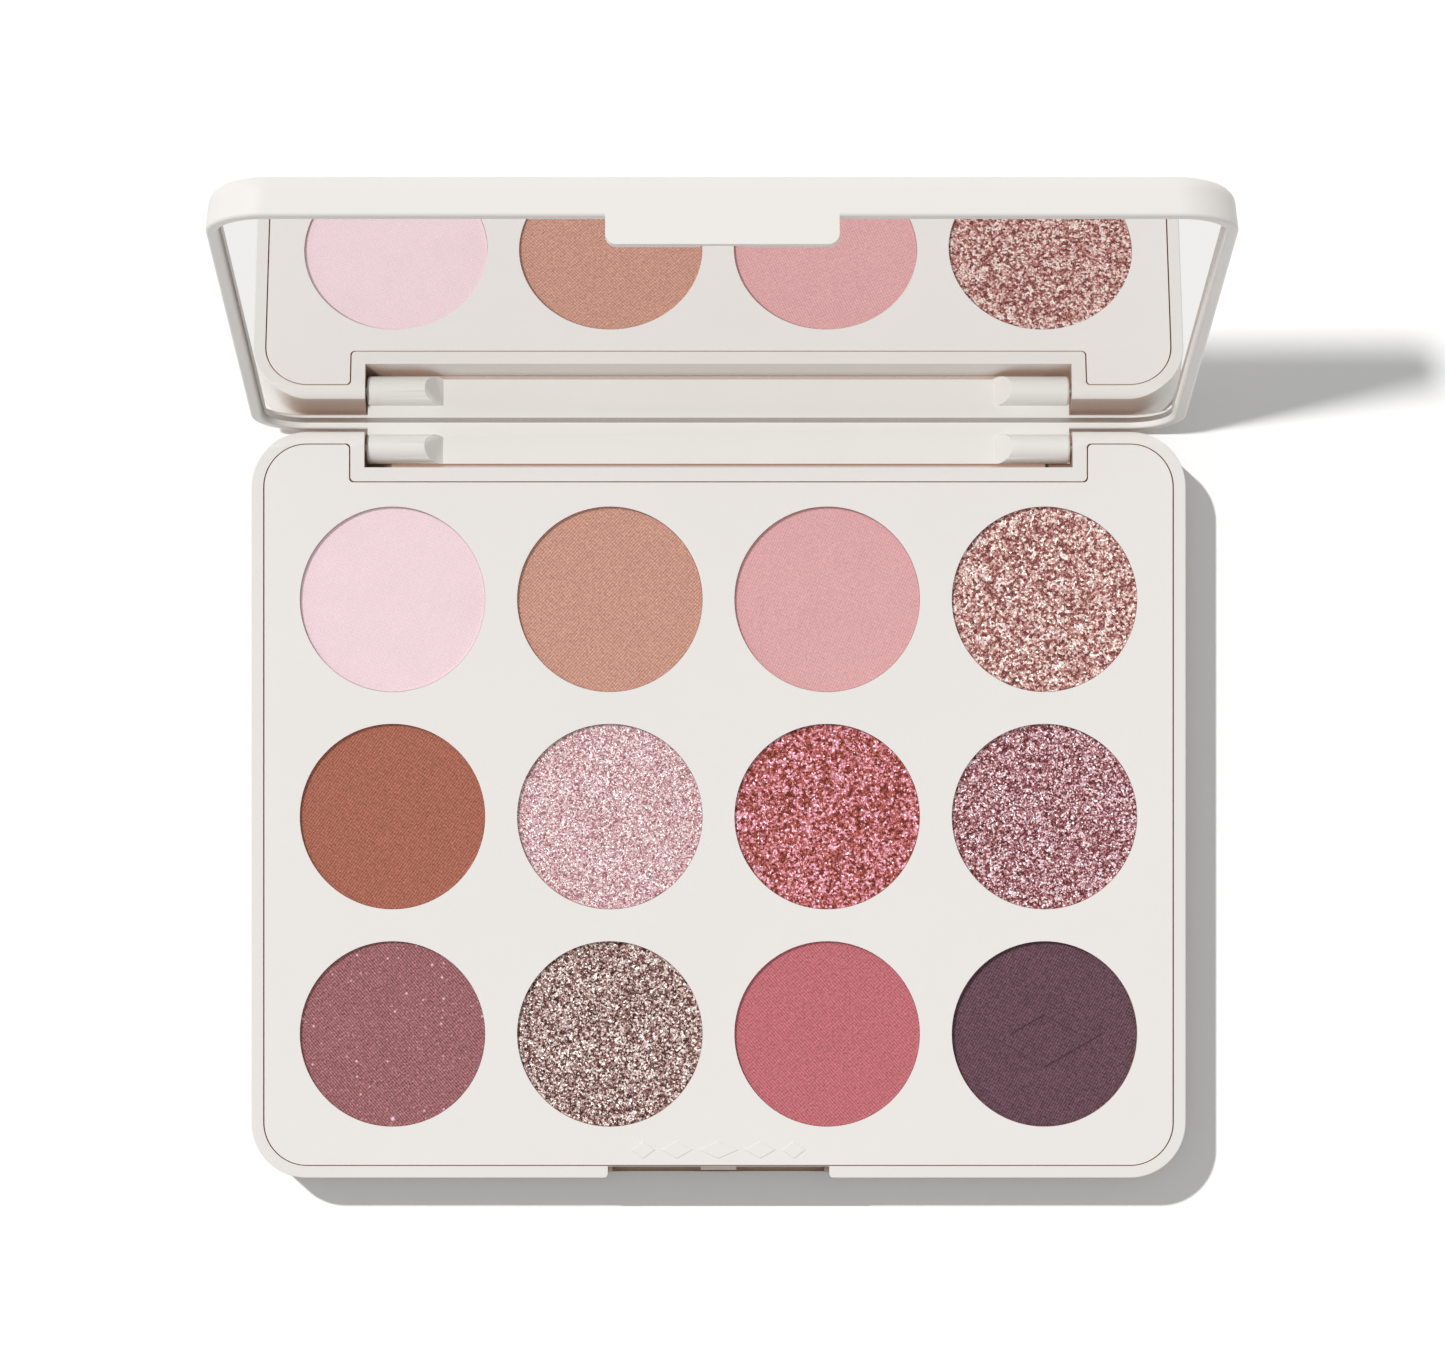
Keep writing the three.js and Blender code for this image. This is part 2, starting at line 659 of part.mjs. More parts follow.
function makeHingePin(side) {
  const end = NOTCH_HALF_WIDTH + PIN_IN_EAR;
  const radius = PIN_DIAMETER / 2;
  const geometry = new THREE.CylinderGeometry(radius, radius, PIN_LENGTH, PIN_FACETS);
  geometry.rotateZ(Math.PI / 2);
  geometry.translate(side * (end - PIN_LENGTH / 2), AXIS_Y, AXIS_Z);
  return geometry;
}

// ------------------------------------------------------------------ assembly

const palette = new THREE.Group();

const base = new THREE.Group();
palette.add(base);
addPart(base, 'base_shell', makeBaseShell(), shellPlastic);
addPart(base, 'pan_tray', makeTray(), trayPlastic);
for (const { x, y, shade, label } of panPlaces()) {
  const [shadeName, colour] = shade;
  addPart(base, `pan_${label}`, makePan(x, y), panMetal);
  addPart(base, `glue_dot_${label}`, makeGlueDot(x, y), glueDot);
  addPart(base, `powder_${label}`, makePowder(x, y), material(shadeName, colour, 0.85));
}
addPart(base, 'hinge_pin_left', makeHingePin(-1), pinSteel);
addPart(base, 'hinge_pin_right', makeHingePin(1), pinSteel);

// The lid's pieces are drawn closed and turned about the hinge axis as one.
const hinge = new THREE.Group();
hinge.position.set(0, AXIS_Y, AXIS_Z);
hinge.rotation.x = -THREE.MathUtils.degToRad(OPEN_ANGLE);
palette.add(hinge);
const lid = new THREE.Group();
lid.position.set(0, -AXIS_Y, -AXIS_Z);
hinge.add(lid);
addPart(lid, 'lid_shell', makeLidShell(), shellPlastic);
addPart(lid, 'mirror', makeMirror(), mirrorGlass);
addPart(lid, 'mirror_tape_left', makeTape(-1), tapeFoam);
addPart(lid, 'mirror_tape_right', makeTape(1), tapeFoam);

export default palette;
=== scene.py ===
"""Looks of the eyeshadow palette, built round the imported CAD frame.

Shapes are drawn in millimetres in the row's frame. The lid's pieces are drawn
closed and then turned open about the CAD hinge, as the real lid is.
"""

import json
import math
import random

import bmesh
import bpy
import numpy as np
from mathutils import Matrix, Vector

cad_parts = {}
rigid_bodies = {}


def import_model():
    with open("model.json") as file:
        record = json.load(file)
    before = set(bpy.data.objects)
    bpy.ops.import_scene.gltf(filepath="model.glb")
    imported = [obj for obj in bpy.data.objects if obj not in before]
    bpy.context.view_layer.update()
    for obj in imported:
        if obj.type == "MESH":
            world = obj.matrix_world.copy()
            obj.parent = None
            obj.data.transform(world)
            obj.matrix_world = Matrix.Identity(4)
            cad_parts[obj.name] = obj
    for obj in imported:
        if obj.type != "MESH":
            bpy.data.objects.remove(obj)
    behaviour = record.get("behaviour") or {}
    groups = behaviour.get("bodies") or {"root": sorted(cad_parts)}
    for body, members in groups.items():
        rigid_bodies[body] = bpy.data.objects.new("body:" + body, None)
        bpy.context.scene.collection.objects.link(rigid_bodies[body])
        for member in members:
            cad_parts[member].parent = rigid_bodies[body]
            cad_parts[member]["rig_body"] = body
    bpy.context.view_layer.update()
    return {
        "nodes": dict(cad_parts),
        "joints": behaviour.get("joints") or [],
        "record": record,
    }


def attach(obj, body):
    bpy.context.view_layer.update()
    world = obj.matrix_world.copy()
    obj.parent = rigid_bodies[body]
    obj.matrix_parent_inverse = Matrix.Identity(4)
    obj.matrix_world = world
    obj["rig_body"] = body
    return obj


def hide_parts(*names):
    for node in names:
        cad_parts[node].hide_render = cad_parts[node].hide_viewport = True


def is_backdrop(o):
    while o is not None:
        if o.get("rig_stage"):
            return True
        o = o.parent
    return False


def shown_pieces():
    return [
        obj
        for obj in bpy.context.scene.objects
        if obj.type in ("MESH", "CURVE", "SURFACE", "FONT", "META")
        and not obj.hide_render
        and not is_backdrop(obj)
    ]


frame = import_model()

MM = 0.001

# ------------------------------------------------------- places from the frame

HINGE = frame["joints"][0]
AXIS = Vector(HINGE["pos_m"]) / MM
OPENING = (
    Matrix.Translation(AXIS)
    @ Matrix.Rotation(math.radians(-HINGE["range_deg"][0]), 4, Vector(HINGE["axis"]))
    @ Matrix.Translation(-AXIS)
)
SLOTS = {part["node"]: part["material_slot"] for part in frame["record"]["subparts"]}
LID_NODES = set(frame["record"]["behaviour"]["bodies"]["lid"])


def box_of(node):
    """A node's lowest and highest corners in millimetres, a lid's node turned shut."""
    back = OPENING.inverted() if node in LID_NODES else Matrix.Identity(4)
    points = [back @ (v.co / MM) for v in frame["nodes"][node].data.vertices]
    low = Vector([min(p[i] for p in points) for i in range(3)])
    high = Vector([max(p[i] for p in points) for i in range(3)])
    return low, high


TRAY_LOW, TRAY_HIGH = box_of("pan_tray")
MIRROR_LOW, MIRROR_HIGH = box_of("mirror")
BASE_HIGH = box_of("base_shell")[1]
LID_TOP_Z = box_of("lid_shell")[1].z

HALF_WIDTH = BASE_HIGH.x
HALF_DEPTH = BASE_HIGH.y
RIM_Z = BASE_HIGH.z

# ------------------------------------------------- dimensions of the fine shapes

CORNER_RADIUS = 7.7
ARC_STEPS = 20
FILLET_STEPS = 6
FOOT_FILLET = 0.9
RIM_FILLET = 0.14
EDGE_BEVEL = 0.12
BEVEL_STEPS = 3

# The groove round the tray, at its sides and at its front and back ends.
GROOVE = 0.18
END_GROOVE = 0.13
RIM_WIDTH = HALF_WIDTH - TRAY_HIGH.x - GROOVE
TRAY_SEAT_Z = TRAY_LOW.z - 0.05
FLOOR_Z = 1.4
CAVITY_INSET = 3.1
CAVITY_NOTCH_SIDE = 4.5
CAVITY_NOTCH_FRONT = 3.5
CAVITY_NOTCH_RADIUS = 1.0
HOLE_RADIUS = 12.8
HOLE_STEPS = 128
TRAY_EDGE_BEVEL = 0.07

TONGUE_RADIUS = HALF_DEPTH - AXIS.y
TONGUE_HALF_WIDTH = 48.65
NOTCH_HALF_WIDTH = TONGUE_HALF_WIDTH + 0.25
NOTCH_WALL = 1.925
NOTCH_CORNER_RADIUS = 0.6
BARREL_RADIUS = 2.03
BARREL_LENGTH = 10.5
BARREL_END_FILLET = 0.45
BARREL_SLOPE_LENGTH = 2.5
WEB_HALF_WIDTH = TONGUE_HALF_WIDTH - BARREL_LENGTH
TONGUE_FOOT_DEGREES = 330
NOTCH_FRONT_Y = AXIS.y - BARREL_RADIUS - 0.61
CRADLE_GAP = 0.3
CRADLE_HALF_WIDTH = 45.3
CRADLE_LEDGE_DROP = 0.65
CRADLE_END_DEGREES = 225
CRADLE_OVERLAP = 0.01
NOTCH_FLOOR_Z = AXIS.z - TONGUE_RADIUS - CRADLE_GAP
STOP_GAP = 0.06

THUMB_HALF_WIDTH = 15.3
THUMB_LEDGE_Z = 5.1
THUMB_WALL_DEPTH = 1.6
THUMB_SCOOP_DEPTH = 0.55
THUMB_CORNER_RADIUS = 0.6
NIB_SIZE = Vector((4.9, 0.6, 1.0))
NIB_Z = 6.4
# The thumb notch's ledge is a shallow trench behind a thin lip.
LEDGE_LIP = 0.12
LEDGE_TRENCH = 0.8

SEAM_Z = RIM_Z + 0.1
LID_RIM_WIDTH = 1.55
LID_INNER_Y = HALF_DEPTH - LID_RIM_WIDTH
LID_EDGE_FILLET = 1.82
LID_SIDE_DRAFT = 0.1
LID_RIM_FILLET = 0.5
LID_MOUTH_FILLET = 0.3
TAPE_SPACE = 0.3
LID_LEDGE_Z = MIRROR_HIGH.z + TAPE_SPACE
MIRROR_FACE_DEPTH = 0.32
MIRROR_GRIND = 0.25
MIRROR_FOOT_GRIND = 1.6
MIRROR_EDGE_LIFT = 0.05
TAB_HALF_WIDTH = 14.5
TAB_LENGTH = 3.6
TAB_THICKNESS = 1.4
TAB_CORNER_RADIUS = 1.4
TAB_FACE_INSET = 0.004
CHANNEL_HALF_WIDTH = 2.75
CHANNEL_DEPTH = 0.55
CHANNEL_TOP_Z = 8.0

# ------------------------------------------------------------- mesh construction


def arc_outline(corners, steps=ARC_STEPS):
    """Points round an outline of right-angled corners, each (x, y, radius)."""
    points = []
    for index, (x, y, radius) in enumerate(corners):
        corner = Vector((x, y))
        before = (Vector(corners[index - 1][:2]) - corner).normalized()
        after = (Vector(corners[(index + 1) % len(corners)][:2]) - corner).normalized()
        if radius == 0:
            points.append(corner)
            continue
        centre = corner + radius * (before + after)
        for step in range(steps + 1):
            turn = math.pi / 2 * step / steps
            along = math.cos(turn) * after + math.sin(turn) * before
            points.append(centre - radius * along)
    return points


def palette_outline(inset):
    x = HALF_WIDTH - inset
    y = HALF_DEPTH - inset
    radius = CORNER_RADIUS - inset
    return arc_outline([(-x, -y, radius), (x, -y, radius), (x, y, radius), (-x, y, radius)])


def notched_outline(inset, step_x, step_y, step_radius):
    """The palette's outline, stepping forward round the hinge notch."""
    x = HALF_WIDTH - inset
    y = HALF_DEPTH - inset
    radius = CORNER_RADIUS - inset
    return arc_outline([
        (-x, -y, radius),
        (x, -y, radius),
        (x, y, radius),
        (step_x, y, step_radius),
        (step_x, step_y, step_radius),
        (-step_x, step_y, step_radius),
        (-step_x, y, step_radius),
        (-x, y, radius),
    ])


def arc(centre_y, centre_z, radius, start, end, steps=24):
    """Points in the (Y, Z) plane on an arc, its angles in degrees."""
    turns = np.radians(np.linspace(start, end, steps + 1))
    return [(centre_y + radius * math.cos(t), centre_z + radius * math.sin(t)) for t in turns]


def new_object(name, points, faces):
    mesh = bpy.data.meshes.new(name)
    mesh.from_pydata([tuple(p) for p in points], [], faces)
    mesh.validate()
    made = bpy.data.objects.new(name, mesh)
    bpy.context.scene.collection.objects.link(made)
    return made


def loft(name, rings):
    """A closed solid through rings of equal length, from the lowest to the highest."""
    count = len(rings[0])
    points = [point for ring in rings for point in ring]
    faces = [list(reversed(range(count)))]
    for level in range(len(rings) - 1):
        start = level * count
        for k in range(count):
            after = (k + 1) % count
            faces.append((start + k, start + after, start + count + after, start + count + k))
    faces.append([(len(rings) - 1) * count + k for k in range(count)])
    return new_object(name, points, faces)


def prism(outline, z0, z1):
    return loft("prism", [[(x, y, z) for x, y in outline] for z in (z0, z1)])


def sweep_x(section, x0, x1):
    """A solid with a (Y, Z) section, counter-clockwise seen from +X."""
    return loft("sweep", [[(x, y, z) for y, z in section] for x in (x0, x1)])


def block(low, high):
    (x0, y0, z0), (x1, y1, z1) = low, high
    return prism([(x0, y0), (x1, y0), (x1, y1), (x0, y1)], z0, z1)


def fillet_levels(z0, z1, low_radius, high_radius):
    """(inset, z) pairs up the side of a slab whose two edges are rounded."""
    levels = []
    for step in range(FILLET_STEPS + 1):
        turn = math.pi / 2 * step / FILLET_STEPS
        levels.append((low_radius * (1 - math.sin(turn)), z0 + low_radius * (1 - math.cos(turn))))
    for step in range(FILLET_STEPS + 1):
        turn = math.pi / 2 * step / FILLET_STEPS
        levels.append((high_radius * (1 - math.cos(turn)), z1 - high_radius * (1 - math.sin(turn))))
    return levels


def rounded_slab(name, outline_at, z0, z1, low_radius, high_radius):
    levels = fillet_levels(z0, z1, low_radius, high_radius)
    return loft(name, [[(x, y, z) for x, y in outline_at(inset)] for inset, z in levels])


def draft_sides(piece, z, slope):
    """Leans both sides of a slab inwards above z by a slope."""
    for vertex in piece.data.vertices:
        inwards = slope * max(0.0, vertex.co.z - z)
        vertex.co.x -= math.copysign(inwards, vertex.co.x)


def turned(name, centre, profile, steps=96):
    """A round solid about a vertical axis; profile is (radius, z) from the lowest up."""
    rings = []
    for radius, z in profile:
        turns = [2 * math.pi * k / steps for k in range(steps)]
        rings.append([
            (centre.x + radius * math.cos(t), centre.y + radius * math.sin(t), z)
            for t in turns
        ])
    return loft(name, rings)


def rod_x(radius, x0, x1, fillet0=0.0, fillet1=0.0, steps=48):
    """A rod along X on the hinge axis, its two ends rounded by the fillets."""
    levels = fillet_levels(x0, x1, max(fillet0, 1e-3), max(fillet1, 1e-3))
    rings = []
    for inset, x in levels:
        turns = [2 * math.pi * k / steps for k in range(steps)]
        rings.append([
            (x, AXIS.y + (radius - inset) * math.cos(t), AXIS.z + (radius - inset) * math.sin(t))
            for t in turns
        ])
    return loft("rod", rings)


def apply_modifiers(piece):
    depsgraph = bpy.context.evaluated_depsgraph_get()
    mesh = bpy.data.meshes.new_from_object(piece.evaluated_get(depsgraph))
    piece.modifiers.clear()
    old = piece.data
    piece.data = mesh
    bpy.data.meshes.remove(old)


def combine(piece, operation, *others):
    """Joins or cuts piece with each of the others, which are used up."""
    for other in others:
        modifier = piece.modifiers.new("combine", "BOOLEAN")
        modifier.operation = operation
        modifier.solver = "EXACT"
        modifier.object = other
        apply_modifiers(piece)
        bpy.data.objects.remove(other)


def clean(piece):
    """Merges coincident corners and drops faces with no area."""
    edit = bmesh.new()
    edit.from_mesh(piece.data)
    bmesh.ops.remove_doubles(edit, verts=edit.verts, dist=2e-3)
    bmesh.ops.dissolve_degenerate(edit, edges=edit.edges, dist=1e-3)
    bmesh.ops.recalc_face_normals(edit, faces=edit.faces)
    edit.to_mesh(piece.data)
    edit.free()


def soften(piece, width=EDGE_BEVEL, angle=38):
    """Rounds the sharp edges that cutting and joining left."""
    clean(piece)
    modifier = piece.modifiers.new("soften", "BEVEL")
    modifier.width = width
    modifier.segments = BEVEL_STEPS
    modifier.limit_method = "ANGLE"
    modifier.angle_limit = math.radians(angle)
    modifier.use_clamp_overlap = True
    modifier.harden_normals = False
    apply_modifiers(piece)


def finish_piece(piece, node, materials, weighted=False):
    """Puts a finished piece in the frame: scale, lid's turn, body, node and slot."""
    in_lid = node in LID_NODES
    turn = OPENING if in_lid else Matrix.Identity(4)
    piece.data.transform(Matrix.Scale(MM, 4) @ turn)
    piece.name = node + "_fine"
    piece.data.name = piece.name
    piece.data.materials.clear()
    for material in materials:
        piece.data.materials.append(material)
    piece.data.shade_smooth()
    if weighted:
        modifier = piece.modifiers.new("flat faces stay flat", "WEIGHTED_NORMAL")
        modifier.keep_sharp = True
        modifier.weight = 80
    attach(piece, "lid" if in_lid else "base")
    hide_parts(node)
    return piece


# --------------------------------------------------------------------- materials


def linear(red, green, blue):
    """A display colour, 0 to 255, as a linear RGBA colour."""
    def channel(value):
        value /= 255
        return value / 12.92 if value <= 0.04045 else ((value + 0.055) / 1.055) ** 2.4
    return (channel(red), channel(green), channel(blue), 1.0)


def scaled(colour, factor):
    return tuple(min(1.0, c * factor) for c in colour[:3]) + (1.0,)


class Nodes:
    """A material and short ways to fill its node tree."""

    def __init__(self, name):
        self.material = bpy.data.materials.new(name)
        self.material.use_nodes = True
        self.tree = self.material.node_tree
        self.tree.nodes.clear()
        self.surface = self.add("ShaderNodeBsdfPrincipled")
        output = self.add("ShaderNodeOutputMaterial")
        self.tree.links.new(self.surface.outputs["BSDF"], output.inputs["Surface"])
        self.place = self.add("ShaderNodeTexCoord").outputs["Object"]

    def add(self, kind, inputs=None, **settings):
        made = self.tree.nodes.new(kind)
        for key, value in settings.items():
            setattr(made, key, value)
        for key, value in (inputs or {}).items():
            self.put(made, key, value)
        return made

    def put(self, made, key, value):
        if isinstance(value, bpy.types.NodeSocket):
            self.tree.links.new(value, made.inputs[key])
        else:
            made.inputs[key].default_value = value

    def set(self, **values):
        for key, value in values.items():
            self.put(self.surface, key.replace("_", " "), value)

    def noise(self, size_mm, detail=2.0, roughness=0.5):
        """Noise whose features are about size_mm across, from 0 to 1."""
        return self.add("ShaderNodeTexNoise", {
            "Vector": self.place,
            "Scale": 1 / (size_mm * MM),
            "Detail": detail,
            "Roughness": roughness,
        }).outputs["Fac"]

    def cells(self, size_mm, output="Color"):
        """Voronoi cells about size_mm across."""
        return self.add("ShaderNodeTexVoronoi", {
            "Vector": self.place,
            "Scale": 1 / (size_mm * MM),
        }).outputs[output]

    def math(self, operation, a, b=0.0, clamp=False):
        return self.add("ShaderNodeMath", {0: a, 1: b}, operation=operation,
                        use_clamp=clamp).outputs[0]

    def remap(self, value, low, high, to_low=0.0, to_high=1.0):
        return self.add("ShaderNodeMapRange", {
            "Value": value,
            "From Min": low,
            "From Max": high,
            "To Min": to_low,
            "To Max": to_high,
        }).outputs["Result"]

    def mix(self, factor, a, b):
        return self.add("ShaderNodeMix", {0: factor, 6: a, 7: b}, data_type="RGBA").outputs[2]

    def ramp(self, value, stops):
        made = self.add("ShaderNodeValToRGB", {"Fac": value})
        elements = made.color_ramp.elements
        while len(elements) < len(stops):
            elements.new(0.5)
        for element, (position, colour) in zip(elements, stops):
            element.position = position
            element.color = colour
        return made.outputs["Color"]

    def bump(self, height, strength, distance_mm):
        return self.add("ShaderNodeBump", {
            "Height": height,
            "Strength": strength,
            "Distance": distance_mm * MM,
        }).outputs["Normal"]

    def turned_place(self, degrees):
        made = self.add("ShaderNodeMapping", {"Vector": self.place})
        made.inputs["Rotation"].default_value = (0, 0, math.radians(degrees))
        return made.outputs["Vector"]

    def bands(self, period_mm, direction, vector, distortion):
        """Sine bands across X or Y, 0 to 1, one full wave in each period."""
        wave_length_at_scale_one = 2 * math.pi / 20
        return self.add("ShaderNodeTexWave", {
            "Vector": vector,
            "Scale": wave_length_at_scale_one / (period_mm * MM),
            "Distortion": distortion,
            "Detail": 1.0,
            "Detail Scale": 0.35,
        }, bands_direction=direction).outputs["Fac"]


PLASTIC_ROUGHNESS = 0.52
# Reach of the ambient-occlusion probes: painted shade in recesses within the first, a painted glow in
# tight gaps within the second, in the colour below.
PAINTED_SHADE_REACH_MM = 3.5
PAINTED_GLOW_REACH_MM = 0.5
PAINTED_GLOW_COLOUR = (1.0, 0.46, 0.27, 1.0)


def moulded_plastic(name, colour, painted_recess_shading, painted_glow_strength):
    """Satin plastic: faint cloudiness and a fine moulded grain. Its colour in recesses is
    scaled by a painted shading factor (painted shade below 1, painted light above 1),
    and its tight gaps get a painted orange glow."""
    nodes = Nodes(name)
    cloud = nodes.noise(18, detail=3)
    grain = nodes.noise(0.12, detail=3)
    tone = nodes.mix(cloud, scaled(colour, 0.985), scaled(colour, 1.012))
    # Painted shade: the colour moves to the recess colour where nearby walls hide the sky.
    recess = nodes.add("ShaderNodeAmbientOcclusion", {"Distance": PAINTED_SHADE_REACH_MM * MM}, samples=4)
    unshaded_share = nodes.remap(recess.outputs["AO"], 0.25, 0.72)
    painted_recess_colour = tuple(c * f for c, f in zip(colour[:3], painted_recess_shading)) + (1.0,)
    # Painted glow: the plastic emits in tight gaps, though it is no lamp.
    gap = nodes.add("ShaderNodeAmbientOcclusion", {"Distance": PAINTED_GLOW_REACH_MM * MM}, samples=4)
    openness = nodes.remap(gap.outputs["AO"], 0.05, 0.36)
    nodes.set(
        Base_Color=nodes.mix(unshaded_share, painted_recess_colour, tone),
        Roughness=nodes.remap(grain, 0.3, 0.7, PLASTIC_ROUGHNESS - 0.05, PLASTIC_ROUGHNESS + 0.06),
        Specular_IOR_Level=0.3,
        Normal=nodes.bump(grain, 0.05, 0.02),
        Emission_Color=PAINTED_GLOW_COLOUR,
        Emission_Strength=nodes.remap(openness, 0.0, 1.0, painted_glow_strength, 0.0),
    )
    return nodes.material


def brushed_metal(name, colour, roughness):
    nodes = Nodes(name)
    streak = nodes.noise(0.4, detail=4)
    nodes.set(
        Base_Color=nodes.mix(streak, scaled(colour, 0.9), colour),
        Metallic=1.0,
        Roughness=nodes.remap(streak, 0.3, 0.7, roughness - 0.08, roughness + 0.08),
        Normal=nodes.bump(streak, 0.1, 0.02),
    )
    return nodes.material


def dull(name, colour, roughness):
    """Glue and foam tape: a slightly uneven dull surface."""
    nodes = Nodes(name)
    patch = nodes.noise(0.8, detail=4)
    nodes.set(
        Base_Color=nodes.mix(patch, scaled(colour, 0.86), colour),
        Roughness=roughness,
        Normal=nodes.bump(patch, 0.3, 0.1),
    )
    return nodes.material


def silvered_glass():
    nodes = Nodes("silvered_glass")
    haze = nodes.noise(25, detail=2)
    nodes.set(
        Base_Color=nodes.mix(haze, (0.93, 0.925, 0.915, 1.0), (0.945, 0.94, 0.93, 1.0)),
        Metallic=1.0,
        Roughness=0.0,
    )
    return nodes.material


def glass_edge():
    """The ground edge of the mirror's glass, a pale frosted grey."""
    nodes = Nodes("glass_edge")
    grind = nodes.noise(0.15, detail=3)
    nodes.set(
        Base_Color=nodes.mix(grind, linear(176, 169, 163), linear(202, 196, 190)),
        Roughness=nodes.remap(grind, 0.3, 0.7, 0.12, 0.3),
        Specular_IOR_Level=0.6,
    )
    return nodes.material


def matte_powder(name, colour, weave_angle, weave_mm, contrast):
    """Pressed powder that keeps the print of the pressing cloth."""
    nodes = Nodes(name)
    turned_to_cloth = nodes.turned_place(weave_angle)
    warp = nodes.bands(weave_mm, "X", turned_to_cloth, 0.6)
    weft = nodes.bands(weave_mm * 1.35, "Y", turned_to_cloth, 0.9)
    grain = nodes.noise(0.3, detail=4, roughness=0.7)
    cloud = nodes.noise(5, detail=3)
    cloth = nodes.math("ADD", nodes.math("MULTIPLY", warp, 0.7), nodes.math("MULTIPLY", weft, 0.3))
    cloth_tone = nodes.remap(cloth, 0, 1, 1 - contrast, 1 + contrast)
    grain_tone = nodes.remap(grain, 0.25, 0.75, 1 - 1.6 * contrast, 1 + 1.6 * contrast)
    drift = nodes.remap(cloud, 0.3, 0.7, 0.985, 1.015)
    shade = nodes.math("MULTIPLY", nodes.math("MULTIPLY", cloth_tone, grain_tone), drift)
    value = nodes.add("ShaderNodeVectorMath", {0: colour[:3], "Scale": shade}, operation="SCALE")
    nodes.set(
        Base_Color=value.outputs[0],
        Roughness=0.92,
        Specular_IOR_Level=0.18,
        Sheen_Weight=0.08,
        Normal=nodes.bump(nodes.math("ADD", cloth, grain), 0.5, 0.035),
    )
    return nodes


def glitter_powder(name, stops, flake_mm, cluster, metallic):
    """Pressed glitter: overlapping flakes, each with its own tilt and tone. The tones run from
    dark to bright: the flakes' own colours, with painted shade between flakes in the
    darkest and painted glints in the brightest.
    """
    nodes = Nodes(name)
    large = nodes.cells(flake_mm)
    small = nodes.cells(flake_mm * 0.55)
    clump = nodes.noise(flake_mm * 3.4, detail=3, roughness=0.6)
    large_tone = nodes.add("ShaderNodeSeparateColor", {"Color": large}).outputs[0]
    small_tone = nodes.add("ShaderNodeSeparateColor", {"Color": small}).outputs[1]
    flakes = nodes.math("ADD", nodes.math("MULTIPLY", large_tone, 0.62),
                        nodes.math("MULTIPLY", small_tone, 0.38))
    spread = nodes.math("MULTIPLY", nodes.math("SUBTRACT", clump, 0.5), cluster)
    tone = nodes.math("ADD", flakes, spread, clamp=True)
    tilt = nodes.add("ShaderNodeVectorMath", {0: small, 1: (0.5, 0.5, 0.5)}, operation="SUBTRACT")
    lean = nodes.add("ShaderNodeVectorMath", {0: tilt.outputs[0], "Scale": 0.5}, operation="SCALE")
    normal = nodes.add("ShaderNodeNewGeometry").outputs["Normal"]
    leaning = nodes.add("ShaderNodeVectorMath", {0: normal, 1: lean.outputs[0]}, operation="ADD")
    facing = nodes.add("ShaderNodeVectorMath", {0: leaning.outputs[0]}, operation="NORMALIZE")
    nodes.set(
        Base_Color=nodes.ramp(tone, stops),
        Metallic=nodes.remap(tone, 0.5, 0.8, 0.0, metallic),
        Roughness=nodes.remap(tone, 0.4, 0.9, 0.75, 0.35),
        Specular_IOR_Level=0.4,
        Normal=facing.outputs[0],
    )
    return nodes


def add_sparkles(nodes, spacing_mm, radius_mm, share, colour):
    """Scatters bright specks over a powder's own colour: painted glints of its shimmer."""
    surface = nodes.surface
    beneath = surface.inputs["Base Color"].links[0].from_socket
    reach = nodes.cells(spacing_mm, "Distance")
    lottery = nodes.add("ShaderNodeSeparateColor", {"Color": nodes.cells(spacing_mm)}).outputs[0]
    size = radius_mm / spacing_mm
    core = nodes.remap(reach, size, size * 0.45)
    chosen = nodes.math("GREATER_THAN", lottery, 1 - share)
    speck = nodes.math("MULTIPLY", core, chosen, clamp=True)
    nodes.set(Base_Color=nodes.mix(speck, beneath, colour))


# ------------------------------------------------------------ camera and lights

CAMERA_HEIGHT_MM = 910.0
CAMERA_X_MM = -4.6
CAMERA_Y_MM = 12.1
FRAME_CENTRE_MM = (0.55, 17.63)
PIXELS_PER_MM = 7.245
SENSOR_MM = 36.0
IMAGE_WIDTH = 1445
FLOOR_REACH_MM = 1600
# How far a shadow falls to the right and to the front, for each mm of height.
SUN_DRIFT = 0.552
SUN_DROP = 0.506
SHEET_MARGIN = 1
SHEET_TUCK = 0.4
SHEET_LOW_Z = 0.01
SHEET_HIGH_Z = 0.02
# Where the glowing cards lie that paint a reflection of bright floor into the mirror.
CARD_GAP = 0.3
CARD_REACH = 40
CARD_FRONT_Y = 15
CARD_BACK_Y = 60
CARD_Z = 0.2


def make_camera():
    data = bpy.data.cameras.new("camera")
    data.sensor_width = SENSOR_MM
    data.lens = PIXELS_PER_MM * CAMERA_HEIGHT_MM / IMAGE_WIDTH * SENSOR_MM
    data.shift_x = (FRAME_CENTRE_MM[0] - CAMERA_X_MM) * PIXELS_PER_MM / IMAGE_WIDTH
    data.shift_y = (FRAME_CENTRE_MM[1] - CAMERA_Y_MM) * PIXELS_PER_MM / IMAGE_WIDTH
    camera = bpy.data.objects.new("camera", data)
    camera.location = Vector((CAMERA_X_MM, CAMERA_Y_MM, RIM_Z + CAMERA_HEIGHT_MM)) * MM
    bpy.context.scene.collection.objects.link(camera)
    bpy.context.scene.camera = camera


